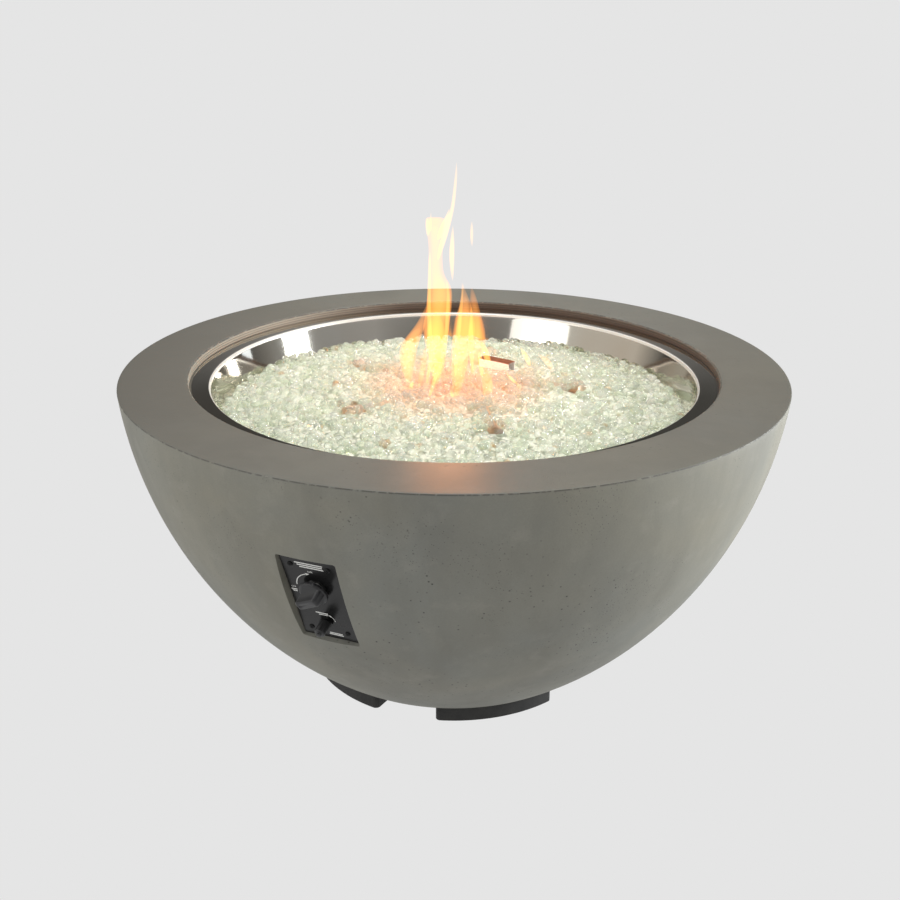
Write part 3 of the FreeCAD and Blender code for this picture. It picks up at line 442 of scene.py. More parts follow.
def beadFinish():
    # Clear glass with a green cast and a few amber pieces
    # tan is the painted warm glow of the flames on the glass
    look = {"clear": (0.97, 0.975, 0.93, 1), "green": (0.85, 0.90, 0.78, 1), "amber": (0.80, 0.56, 0.32, 1),
            "tan": (0.93, 0.78, 0.66, 1), "rim": (0.42, 0.47, 0.36, 1), "brown": (0.46, 0.30, 0.18, 1)}
    f = Finish("fire_glass_beads")
    base = f.mixColor(f.patches(34, 3, 0.6, 0.35, 0.65), look["clear"], look["green"])
    spots = f.patches(52, 1, 0.4, 0.71, 0.74)
    base = paintedFireGlow(f, f.mixColor(spots * 0.8, base, look["amber"]), look["tan"])
    for right, away, reach in sootSpots.values():
        middle = Matrix.Rotation(viewYaw, 3, "Z") @ Vector((right * mm, away * mm, sootLevel))
        ends = {0: f.place(), 1: middle}
        gap = f.add("ShaderNodeVectorMath", {"operation": "DISTANCE"}, ends, out="Value")
        base = f.mixColor(f.between(gap, reach * mm, (reach - sootFade) * mm) * 0.9, base, look["brown"])
    # painted shade: a piece of glass is drawn darker towards its outline, for the dark edges that glass
    # shows there
    outline = f.add("ShaderNodeLayerWeight", sockets={"Blend": 0.35}, out="Facing")
    base = f.mixColor(outline ** 1.6 * 0.8, base, look["rim"])
    return f.shade(Base_Color=base, Roughness=0.02, IOR=1.5, Transmission_Weight=0.86)


def bedFinish():
    # Glass seen through glass: light grains, with painted shade in the dark gaps between them
    # tan is the painted warm glow of the flames on the bed
    look = {"light": tone(244, 245, 230), "shade": tone(196, 202, 176), "gapShade": tone(106, 114, 86),
            "tan": tone(214, 168, 138)}
    f = Finish("fire_glass_bed")
    grains = f.dots(150)
    base = f.mixColor(f.patches(80, 3, 0.6, 0.35, 0.65), look["light"], look["shade"])
    base = f.mixColor(f.between(grains, 0.45, 0.75) * 0.8, base, look["gapShade"])
    return f.shade(Base_Color=paintedFireGlow(f, base, look["tan"]), Roughness=0.3,
                   Normal=f.bump(grains, 0.6, 2 * mm))


def plateFinish():
    # Satin black powder coat that mirrors the knob softly
    f = Finish("plate_black")
    wear = f.patches(60, 4, 0.6, 0.5, 0.8)
    return f.shade(Base_Color=f.mixColor(wear * 0.5, tone(26, 26, 26), tone(38, 38, 37)),
                   Roughness=f.between(f.noise(25, 3, 0.5), 0.3, 0.7, 0.2, 0.28),
                   Normal=f.bump(f.noise(900, 2, 0.5), 0.04, 0.2 * mm), Specular_IOR_Level=0.25)


def knobFinish():
    f = Finish("knob_black")
    grain = f.noise(700, 2, 0.5)
    return f.shade(Base_Color=f.mixColor(f.between(grain, 0.4, 0.7), tone(30, 30, 31), tone(38, 38, 39)),
                   Roughness=f.between(f.noise(30, 3, 0.5), 0.3, 0.7, 0.34, 0.46),
                   Normal=f.bump(grain, 0.1, 0.1 * mm))


def twoTone(name, light, dark, patch, grain, rough, relief, **more):
    # Two tones in patches, and a fine grain that varies the gloss and the surface;
    # a patch is (scale, low, high, share) and a grain is (scale, detail, roughness)
    f = Finish(name)
    scale, low, high, share = patch
    base = f.mixColor(f.patches(scale, 4, 0.6, low, high) * share, tone(*light), tone(*dark))
    fine = f.noise(*grain)
    return f.shade(Base_Color=base, Roughness=f.between(fine, 0.2, 0.8, *rough),
                   Normal=f.bump(fine, *relief), **more)


def metalFinish(name, light, dark, rough):
    return twoTone(name, light, dark, (60, 0.4, 0.7, 0.7), (540, 2, 0.5), (rough - 0.06, rough + 0.08),
                   (0.1, 0.1 * mm), Metallic=1.0)


def mattFinish(name, light, dark, rough):
    return twoTone(name, light, dark, (80, 0.35, 0.7, 0.6), (640, 2, 0.5), (rough - 0.06, rough + 0.08),
                   (0.12, 0.15 * mm))


# The burner's stainless tube has turned brown in the flames, and the cast foot blocks are dusty
finishes = {
    "concrete": concreteFinish(),
    "panSteel": panSteelFinish(),
    "hoodSteel": hoodSteelFinish(),
    "burnerSteel": twoTone("burner_steel", (206, 172, 138), (152, 116, 84), (28, 0.4, 0.65, 1.0),
                           (500, 2, 0.5), (0.32, 0.46), (0.15, 0.1 * mm), Metallic=0.25),
    "beads": beadFinish(),
    "bed": bedFinish(),
    "plate": plateFinish(),
    "knob": knobFinish(),
    "foot": twoTone("foot_block", (32, 32, 31), (54, 53, 50), (40, 0.4, 0.75, 0.5),
                    (500, 2, 0.6), (0.68, 0.85), (0.3, 0.3 * mm)),
    "print": mattFinish("white_print", (226, 226, 222), (206, 206, 202), 0.5),
    "brass": metalFinish("brass", (206, 170, 104), (158, 122, 66), 0.28),
    "zinc": metalFinish("zinc_steel", (184, 184, 180), (138, 138, 132), 0.34),
    "spring": metalFinish("spring_steel", (150, 150, 148), (100, 100, 98), 0.3),
    "blackScrew": metalFinish("black_screw", (44, 44, 44), (26, 26, 26), 0.36),
    "copper": metalFinish("copper_brown", (178, 112, 74), (112, 66, 42), 0.34),
    "ceramic": mattFinish("ceramic", (236, 232, 220), (214, 206, 188), 0.3),
    "anchor": mattFinish("anchor_grey", (120, 120, 118), (92, 92, 90), 0.5),
    "igniterBlack": mattFinish("igniter_black", (30, 30, 30), (42, 42, 42), 0.38),
    "lineCoat": mattFinish("line_coat", (206, 190, 70), (170, 152, 52), 0.42),
    "leadWhite": mattFinish("lead_white", (222, 220, 212), (190, 186, 176), 0.5),
    "battery": mattFinish("battery_case", (60, 62, 66), (96, 98, 102), 0.35),
}
print("finishes made", len(finishes))


# Finishes of the nodes that keep the CAD shape, smoothed where they are round

finishedNodes = {
    "zinc": "base_bolts base_inserts burner_locknut air_mixer valve_nut valve_stem inlet_bracket "
            "bracket_screws inlet_locknut",
    "brass": "burner_elbow valve_body valve_rotor valve_elbows flare_nuts thermo_nut gas_inlet_fitting",
    "spring": "electrode_rod valve_spring igniter_spring",
    "igniterBlack": "igniter_body igniter_cap igniter_button",
    "blackScrew": "igniter_nut plate_screws", "copper": "thermocouple thermocouple_lead",
    "lineCoat": "supply_line burner_line", "leadWhite": "igniter_lead", "battery": "igniter_battery",
    "ceramic": "electrode_ceramic", "anchor": "plate_anchors", "plate": "control_plate",
    "knob": "control_knob", "hoodSteel": "pilot_hood", "burnerSteel": "burner_hub burner_arm",
    "concrete": "concrete_bowl", "panSteel": "burner_pan", "bed": "fire_glass", "foot": "base_segment",
}
nodeFinishes = {node: finishes[key] for key, nodes in finishedNodes.items() for node in nodes.split()}


def finishOf(node):
    # The arms and the foot blocks are numbered, and each of these rows shares one finish
    return nodeFinishes[node.rstrip("_12345")]


for node in frame["nodes"]:
    for slot in bpy.data.objects[node].material_slots:
        slot.material = finishOf(node)


def smoothNodes():
    # The round nodes that can be seen get a smooth twin
    shown = ["burner_hub", "pilot_hood", "igniter_cap", "igniter_button", "igniter_nut", "valve_nut",
             "thermocouple", "electrode_ceramic", "supply_line", "burner_line", "gas_inlet_fitting",
             "flare_nuts", "valve_elbows", "igniter_body", "air_mixer"]
    shown += [node for node in frame["nodes"] if node.startswith(("burner_arm", "base_segment"))]
    for node in shown:
        twin = smoothTwin(node, finishOf(node))
        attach(twin, node if node == "igniter_button" else "root")
        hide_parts(node)
    print("smooth twins", len(shown))


smoothNodes()


def springTwin(node, body, joint, travel):
    # A smooth twin of the coil on its body; its reach along the joint's axis is measured, but it is not
    # shortened by the travel
    twin = smoothTwin(node, finishes["spring"])
    entry = jointEntry(joint)
    along = Vector(entry["axis"]).normalized()
    anchor = Vector(entry["deforming_nodes"][0]["fixed_end_m"])
    reach = [abs((twin.matrix_world @ vertex.co - anchor).dot(along)) for vertex in twin.data.vertices]
    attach(twin, body)
    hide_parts(node)
    1 - travel / max(reach)
    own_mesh(twin)


springTwin("valve_spring", "rotor", "knob_push", 5 * mm)
springTwin("igniter_spring", "root", "igniter_press", 3 * mm)


# The cast bowl

bowlSizes = {
    "height": 517 * mm, "footHeight": 29 * mm, "rimRadius": 533.4 * mm, "bottomRadius": 252.7 * mm,
    "sideArc": 676 * mm, "opening": 425 * mm, "wall": 25 * mm, "rimThickness": 42 * mm,
    "outerRound": 1.5 * mm, "innerRound": 4 * mm, "haunchRadius": 452 * mm, "haunchDrop": 40 * mm,
    "ledgeRadius": 406 * mm, "ledgeDrop": 13.5 * mm, "hole": 75 * mm,
    "spinSteps": 320, "sideSteps": 44, "innerSteps": 12,
}


def sideCentre(size):
    # Centre of the side's arc, from its two ends and its radius
    chordR = size["rimRadius"] - size["bottomRadius"]
    chordZ = size["height"] - size["footHeight"]
    chord = hypot(chordR, chordZ)
    away = sqrt(size["sideArc"] ** 2 - (chord / 2) ** 2)
    middleR = (size["rimRadius"] + size["bottomRadius"]) / 2
    middleZ = (size["height"] + size["footHeight"]) / 2
    return middleR - away * chordZ / chord, middleZ + away * chordR / chord


def sideRadius(size, z, inset=0.0):
    centreR, centreZ = sideCentre(size)
    return centreR + sqrt((size["sideArc"] - inset) ** 2 - (z - centreZ) ** 2)


def bowlSection(size):
    top = size["height"]
    foot = size["footHeight"]
    shoulder = top - size["outerRound"]
    section = []
    for k in range(size["sideSteps"] + 1):
        z = foot + (shoulder - foot) * k / size["sideSteps"]
        section.append((sideRadius(size, z), z))
    outer = (sideRadius(size, shoulder) - size["outerRound"], shoulder)
    section += arcPoints(outer, size["outerRound"], 15, 90, 3)
    inner = (size["opening"] + size["innerRound"], top - size["innerRound"])
    for share in (0.05, 0.35, 0.65, 0.95):
        section.append((outer[0] + (inner[0] - outer[0]) * share, top))
    section += arcPoints(inner, size["innerRound"], 90, 180, 5)
    underside = top - size["rimThickness"]
    haunch = underside - size["haunchDrop"]
    ledge = top - size["ledgeDrop"]
    section += [(size["opening"], ledge), (size["ledgeRadius"], ledge), (size["ledgeRadius"], underside),
                (size["haunchRadius"], underside)]
    floorTop = foot + size["wall"]
    for k in range(size["innerSteps"] + 1):
        z = haunch + (floorTop - haunch) * k / size["innerSteps"]
        section.append((sideRadius(size, z, size["wall"]), z))
    return section + [(size["hole"], floorTop), (size["hole"], foot), section[0]]


def makeBowl():
    pocket = {"width": 87 * mm, "height": 166.5 * mm, "corner": 3.5 * mm, "floor": -2 * mm,
              "mouth": 40 * mm, "draft": radians(12), "windowWidth": 66 * mm, "windowHeight": 118 * mm,
              "windowDeep": -77 * mm, "anchor": 3.25 * mm, "anchorDeep": -14 * mm, "overlap": 5 * mm}
    bowl = spinSection("concrete_bowl_cast", bowlSection(bowlSizes), bowlSizes["spinSteps"])
    spread = 2 * (pocket["mouth"] - pocket["floor"]) * tan(pocket["draft"])
    cutTop = pocket["floor"] + pocket["overlap"]
    cutters = [
        roundedSlab("recess", pocket["width"], pocket["height"], pocket["corner"], pocket["floor"],
                    pocket["mouth"], spread),
        roundedSlab("window", pocket["windowWidth"], pocket["windowHeight"], pocket["corner"],
                    pocket["windowDeep"], cutTop)]
    deep = pocket["anchorDeep"]
    for x, y in screwSpots:
        cutters.append(newPiece("anchor", bpy.ops.mesh.primitive_cylinder_add, vertices=20,
                                radius=pocket["anchor"], depth=cutTop - deep,
                                location=(x, y, (deep + cutTop) / 2)))
        applyPlace()
    for cutter in cutters:
        settle(cutter, onPanel)
    cutWith(bowl, *cutters)
    beginEdit(bowl)
    closeEdit(0.005 * mm)
    smooth(bowl, 25)
    coat(bowl, finishes["concrete"])
    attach(bowl, "root")
    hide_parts("concrete_bowl")
    print("bowl", len(bowl.data.polygons), "faces")


makeBowl()


# The spun steel pan

panSizes = {
    "flangeRadius": 421 * mm, "flangeTop": 504.6 * mm, "lipRadius": 392 * mm, "lipRound": 4.2 * mm,
    "lipDrop": 1.8 * mm, "floor": 404 * mm, "wallRadius": 376.5 * mm, "flareFoot": 451 * mm,
    "flareSteps": 8, "corner": 12 * mm, "hole": 10.8 * mm, "sheet": 1.5 * mm, "spinSteps": 288,
}


def makePan():
    size = panSizes
    top = size["flangeTop"]
    # the flange sinks a little to a rolled lip, and the flared wall drops from it into the glass
    outline = [(size["flangeRadius"], top)]
    centre = (size["lipRadius"] + size["lipRound"], top - size["lipDrop"] - size["lipRound"])
    outline += arcPoints(centre, size["lipRound"], 90, 162, 7)
    lipR, lipZ = outline[-1]
    inward = size["wallRadius"] - lipR
    down = size["flareFoot"] - lipZ
    for k in range(1, size["flareSteps"] + 1):
        share = k / size["flareSteps"]
        outline.append((lipR + inward * share, lipZ + down * share))
    centre = (size["wallRadius"] - size["corner"], size["floor"] + size["corner"])
    outline += arcPoints(centre, size["corner"], 0, -90, 4)
    outline.append((size["hole"], size["floor"]))
    pan = spinSection("burner_pan_spun", outline, size["spinSteps"])
    modify(pan, "SOLIDIFY", thickness=size["sheet"], offset=-1, use_even_offset=True)
    smooth(pan, 40)
    coat(pan, finishes["panSteel"])
    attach(pan, "root")
    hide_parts("burner_pan")
    print("pan", len(pan.data.polygons), "faces")


makePan()


# The bed of fire glass: a core that fills the pan and loose tumbled pieces on it

bedSizes = {
    "edgeRadius": 377 * mm, "edgeHeight": 455 * mm, "crown": 27 * mm, "heap": 8 * mm,
    "heapFrom": 190 * mm, "heapTo": 290 * mm, "coreInset": 7 * mm, "coreSteps": 24,
    "bend": (374 * mm, 418 * mm), "foot": (362 * mm, 404.6 * mm), "seed": 11, "pieces": 4,
    "beadRadius": 7.3 * mm, "beadCount": 5600, "wave": 3 * mm, "layers": 1.5, "sunk": 0.3,
    "proudCount": 260, "proudInset": (1.1, 2.6), "proudRise": (1, 7),
    "beadSize": (0.75, 1.15), "stretch": ((0.9, 1.2), (0.85, 1.05), (0.65, 0.95)), "knock": (0.95, 1.05),
    "bareReach": 8.5 * mm, "bareBelow": 5 * mm,
}
# Where the burner shows, as right and away from the camera in millimetres on the photo's plan
bareSpots = {"hubFront": (-4, -46), "leftTip": (-155, -112)}


def bedHeight(radius):
    # Height of the heap at a distance from the middle, highest over the burner
    size = bedSizes
    share = min(1.0, radius / size["edgeRadius"])
    over = min(1.0, max(0.0, (size["heapTo"] - radius) / (size["heapTo"] - size["heapFrom"])))
    return size["edgeHeight"] + size["crown"] * (1 - share * share) + size["heap"] * over


def isBare(x, y, z):
    # Some stretches of the burner show between the pieces of glass
    turn = Matrix.Rotation(viewYaw, 3, "Z")
    for right, away in bareSpots.values():
        spot = turn @ Vector((right * mm, away * mm, 0))
        if hypot(x - spot.x, y - spot.y) < bedSizes["bareReach"]:
            return z > bedHeight(hypot(x, y)) - bedSizes["bareBelow"]
    return False


def makeBedCore():
    size = bedSizes
    section = []
    for k in range(size["coreSteps"] + 1):
        radius = size["edgeRadius"] * k / size["coreSteps"]
        section.append((radius, bedHeight(radius) - size["coreInset"]))
    section += [size["bend"], size["foot"], (0, size["foot"][1])]
    core = spinSection("fire_glass_bed", section, 128)
    smooth(core, 40)
    coat(core, finishes["bed"])
    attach(core, "root")
    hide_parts("fire_glass")


armSizes = {"count": 5, "first": -42, "hub": 38 * mm, "straight": 15 * mm, "bend": 400 * mm,
            "run": 160 * mm, "top": 485 * mm, "ridge": 4 * mm, "apart": 7.7 * mm, "spread": 9 * mm,
            "bareFrom": 70 * mm, "hubPieces": 46, "hubTop": 489 * mm}


def armSpots(dice):
    # Places for the pieces that lie over the burner's arms and hub
    size = armSizes
    spots = []
    for k in range(size["count"]):
        turn = Matrix.Rotation(radians(size["first"] + 360 / size["count"] * k), 3, "Z")
        along = size["hub"]
        while along < size["hub"] + size["straight"] + size["run"]:
            bent = max(0.0, along - size["hub"] - size["straight"]) / size["bend"]
            straight = min(along, size["hub"] + size["straight"])
            middle = Vector((straight + size["bend"] * sin(bent), -size["bend"] * (1 - cos(bent)), 0))
            for side in (-1, 0, 1):
                if k == 0 and side == 0 and along > size["bareFrom"]:
                    continue  # the top of the arm nearest the camera shows between its pieces
                spot = turn @ (middle + Vector((0, side * size["spread"], 0)))
                lift = size["top"] + (size["ridge"] if side == 0 else 0) + dice.uniform(-2, 2) * mm
                spots.append((spot.x + dice.uniform(-3, 3) * mm, spot.y + dice.uniform(-3, 3) * mm, lift))
            along += size["apart"]
    for k in range(size["hubPieces"]):
        reach = size["hub"] * sqrt(dice.random())
        angle = 2 * pi * dice.random()
        spots.append((reach * cos(angle), reach * sin(angle), size["hubTop"] + dice.uniform(0, 3) * mm))
    return spots


def bedSpots(dice):
    # Places for the pieces of the heap, thrown evenly over the bed in a loose top layer
    size = bedSizes
    spots = []
    for k in range(size["beadCount"]):
        radius = (size["edgeRadius"] - size["beadRadius"]) * sqrt(dice.random())
        azimuth = 2 * pi * dice.random()
        depth = dice.random() ** 2 * size["layers"] + size["sunk"]
        bump = size["wave"] * sin(radius * 90) * sin(azimuth * 9)
        z = bedHeight(radius) + bump - depth * size["beadRadius"]
        spots.append((radius * cos(azimuth), radius * sin(azimuth), z))
    for k in range(size["proudCount"]):
        # a few stand proud along the edge, in uneven crowds
        azimuth = 2 * pi * dice.random()
        radius = size["edgeRadius"] - dice.uniform(*size["proudInset"]) * size["beadRadius"]
        crowd = 0.5 + 0.5 * sin(azimuth * 7 + 1.3) * sin(azimuth * 3)
        z = bedHeight(radius) + crowd * dice.uniform(*size["proudRise"]) * mm
        spots.append((radius * cos(azimuth), radius * sin(azimuth), z))
    return spots


def throwBead(dice, corners, spot):
    # The points of one piece, stretched, turned and knocked out of round
    radius = bedSizes["beadRadius"] * dice.uniform(*bedSizes["beadSize"])
    axis = Vector((dice.gauss(0, 1), dice.gauss(0, 1), dice.gauss(0, 1))).normalized()
    turn = Matrix.Rotation(2 * pi * dice.random(), 3, axis)
    stretch = Vector([dice.uniform(*span) for span in bedSizes["stretch"]])
    points = []
    for corner in corners:
        knock = radius * dice.uniform(*bedSizes["knock"])
        knocked = Vector(corner[k] * stretch[k] for k in range(3)) * knock
        points.append(tuple(Vector(spot) + turn @ knocked))
    return points


def makeBeads():
    size = bedSizes
    dice = random.Random(size["seed"])
    model = newPiece("bead", bpy.ops.mesh.primitive_ico_sphere_add, subdivisions=2, radius=1.0)
    corners = [vertex.co.copy() for vertex in model.data.vertices]
    faces = [tuple(face.vertices) for face in model.data.polygons]
    bpy.data.objects.remove(model)
    low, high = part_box("pilot_hood")
    room = {"side": 3 * mm, "front": 17 * mm, "below": 13 * mm}  # the hood's bright face is left free
    spots = []
    for spot in bedSpots(dice) + armSpots(dice):
        front = room["front"] if spot[2] > high[2] - room["below"] else 0
        inWidth = low[0] - room["side"] < spot[0] < high[0] + room["side"]
        inDepth = low[1] - front < spot[1] < high[1] + room["side"]
        if not (inWidth and inDepth) and not isBare(*spot):
            spots.append(spot)
    share = len(spots) // size["pieces"] + 1
    for part in range(size["pieces"]):
        points = []
        polygons = []
        for spot in spots[part * share:(part + 1) * share]:
            first = len(points)
            points += throwBead(dice, corners, spot)
            polygons += [tuple(first + index for index in face) for face in faces]
        mesh = bpy.data.meshes.new("fire_glass_beads_%d" % (part + 1))
        mesh.from_pydata(points, [], polygons)
        mesh.update()
        mesh.shade_smooth()
        piece = bpy.data.objects.new(mesh.name, mesh)
        bpy.context.collection.objects.link(piece)
        coat(piece, finishes["beads"])
        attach(piece, "root")
        piece.visible_shadow = False  # light reaches the bed as it does through real glass
        piece.visible_diffuse = False
    print("pieces of glass", len(spots))


makeBedCore()
makeBeads()


# Control panel: knob, screws and white print

def makeKnob():
    twin = smoothTwin("control_knob", finishes["knob"])
    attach(twin, "knob")
    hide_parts("control_knob")


def makeScrews():
    # Pan-head screws with a crossed recess, in the places of the four plate screws
    size = {"head": 3.9 * mm, "skirt": 0.5 * mm, "rise": 2.4 * mm, "shank": 2 * mm, "length": 11 * mm,
            "slot": 0.9 * mm, "slotLong": 4.2 * mm, "slotDeep": 1.3 * mm, "dome": (0.3, 0.6, 0.9, 1.2)}
    profile = [(0, -size["length"]), (size["shank"], -size["length"]), (size["shank"], 0),
               (size["head"], 0), (size["head"], size["skirt"])]
    profile += [(size["head"] * cos(a), size["skirt"] + (size["rise"] - size["skirt"]) * sin(a))
                for a in size["dome"]]
    profile += [(0, size["rise"])]
    screws = []
    spin = random.Random(3)
    for x, y in screwSpots:
        screw = spinSection("screw", profile, 28)
        for quarter in (0, 1):
            slotCut = roundedSlab("slot", size["slotLong"], size["slot"], 0.3 * mm,
                                  size["rise"] - size["slotDeep"], size["rise"] + 1 * mm)
            settle(slotCut, Matrix.Rotation(quarter * pi / 2, 4, "Z"))
            cutWith(screw, slotCut)
        turn = Matrix.Rotation(spin.uniform(0, pi / 2), 4, "Z")
        settle(screw, onPanel @ Matrix.Translation((x, y, 0)) @ turn)
        screws.append(screw)
    joined(*screws)
    crossed = named("plate_screws_crossed")
    smooth(crossed, 30)
    coat(crossed, finishes["blackScrew"])
    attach(crossed, "root")
    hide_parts("plate_screws")


def printMark(name, piece, x, y):
    # Lays a flat mark on the plate's face
    lift = 0.04 * mm
    settle(piece, onPanel @ Matrix.Translation((x, y, lift)))
    coat(piece, finishes["print"])
    piece.name = name
    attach(piece, "root")


def arcMark(name, radius, width, start, end, headLong, headWide, x, y):
    # An arc with an arrow head at its end; angles in degrees from the right
    arc = onePoint(name)
    begin = radians(start)
    to = radians(end)
    inner = radius - width / 2
    bpy.ops.transform.translate(value=(inner * cos(begin), inner * sin(begin), 0))
    extrudeBy(width * cos(begin), width * sin(begin), 0)
    bpy.ops.mesh.select_all(action="SELECT")
    bpy.ops.mesh.spin(steps=22, angle=begin - to, center=(0, 0, 0), axis=(0, 0, 1))
    endEdit()
    tip = Vector((radius * cos(to), radius * sin(to), 0))
    way = Vector((-sin(to), cos(to), 0)) * (1 if end > start else -1)
    head = newPiece(name + "_head", bpy.ops.mesh.primitive_circle_add, vertices=3, radius=headWide,
                    fill_type="NGON")
    beginEdit(head)
    bpy.ops.transform.resize(value=(1, headLong / headWide, 1))
    endEdit()
    turn = Matrix.Rotation(atan2(way.y, way.x) - pi / 2, 4, "Z")
    settle(head, Matrix.Translation(tip + way * headLong * 0.3) @ turn)
    joined(arc, head)
    beginEdit(arc)
    extrudeBy(0, 0, 0.05 * mm)
    closeEdit()
    printMark(name, arc, x, y)


def wordMark(name, word, size, x, y):
    text = newPiece(name, bpy.ops.object.text_add)
    settings = {"body": word, "size": size, "align_x": "CENTER", "align_y": "CENTER", "extrude": 0.02 * mm,
                "resolution_u": 3}
    for key, value in settings.items():
        setattr(text.data, key, value)
    bpy.ops.object.convert(target="MESH")
    printMark(name, bpy.context.object, x, y)


def makePrint():
    bars = {"top": ((0, 71, 42), (1, 67.2, 38), (3, 63.4, 36)), "height": 1.9,
            "left": ((-35.5, 12.5, 9), (-35, 9.2, 7)), "middle": ((-4, -30, 19), (-2, -33.4, 14)),
            "right": ((9, -70.5, 20), (9, -73.6, 22))}
    count = 0
    for group in ("top", "left", "middle", "right"):
        for x, y, width in bars[group]:
            count += 1
            bar = roundedSlab("print_bar", width * mm, bars["height"] * mm, 0.3 * mm, 0, 0.05 * mm)
            printMark("print_bar_%d" % count, bar, x * mm, y * mm)
    knobUp = panelSizes["knobUp"]
    arcMark("print_knob_arc", 28.5 * mm, 1.4 * mm, 176, 106, 4 * mm, 2.4 * mm, 0, knobUp)
    arcMark("print_igniter_arc", 14 * mm, 1.0 * mm, 5, 52, 3 * mm, 1.9 * mm, 0, panelSizes["igniterUp"])
    wordMark("print_off", "OFF", 4.6 * mm, -1 * mm, knobUp + 33 * mm)
    wordMark("print_on", "ON", 4.6 * mm, -35.5 * mm, knobUp - 4.5 * mm)


makeKnob()
makeScrews()
makePrint()
print("panel finished")


# Flames: closed tongues of glowing gas over the burner, which are not part of the object

def flameFinish(name, color, glow, thickness, passed=(0, 0, 0, 1)):
    # Gas that glows and lets less and less through where it is deeper
    f = Finish(name)
    shine = f.add("ShaderNodeEmission", sockets={"Color": color, "Strength": glow})
    veil = f.add("ShaderNodeVolumeAbsorption", sockets={"Color": passed, "Density": thickness})
    both = f.add("ShaderNodeAddShader", sockets={0: shine, 1: veil})
    f.tree.links.new(both.socket, f.output.inputs["Volume"])
    return f.material


flamePlane = {"lookDown": 0.386, "right": -7, "foot": 478, "stretch": 1.03, "squeeze": 0.6, "sway": 0.25}


def flameTongue(name, depth, stations, material, slim=1.0, seed=1):
    # Stations are (right, level, half width) in millimetres on the upright plane through the middle
    # that faces the camera; depth moves the whole tongue away from the camera along its line of sight
    dice = random.Random(seed)
    plane = flamePlane
    places = []
    for right, level, half in stations:
        stretched = plane["foot"] + (level - plane["foot"]) * plane["stretch"]
        spot = Vector((right + plane["right"], depth, stretched - depth * plane["lookDown"])) * mm
        places.append((spot, half * slim))
    spot, half = places[0]
    tongue = newPiece(name, bpy.ops.mesh.primitive_circle_add, vertices=20, radius=half * mm,
                      fill_type="NGON", location=spot)
    applyPlace()
    beginEdit(tongue)
    bpy.ops.transform.resize(value=(1, plane["squeeze"], 1), center_override=spot)
    for (before, wide), (after, wider) in zip(places, places[1:]):
        sway = dice.uniform(-plane["sway"], plane["sway"]) * wider
        extrudeBy(*(after - before))
        bpy.ops.transform.resize(value=(wider / wide, wider / wide, 1), center_override=after)
        bpy.ops.transform.rotate(value=radians(sway * 1.5), orient_axis="Y", center_override=after)
    closeEdit()
    modify(tongue, "SUBSURF", levels=2, render_levels=2)
    settle(tongue, Matrix.Rotation(viewYaw, 4, "Z"))
    smooth(tongue, 80)
    coat(tongue, material)
    tongue.visible_shadow = False


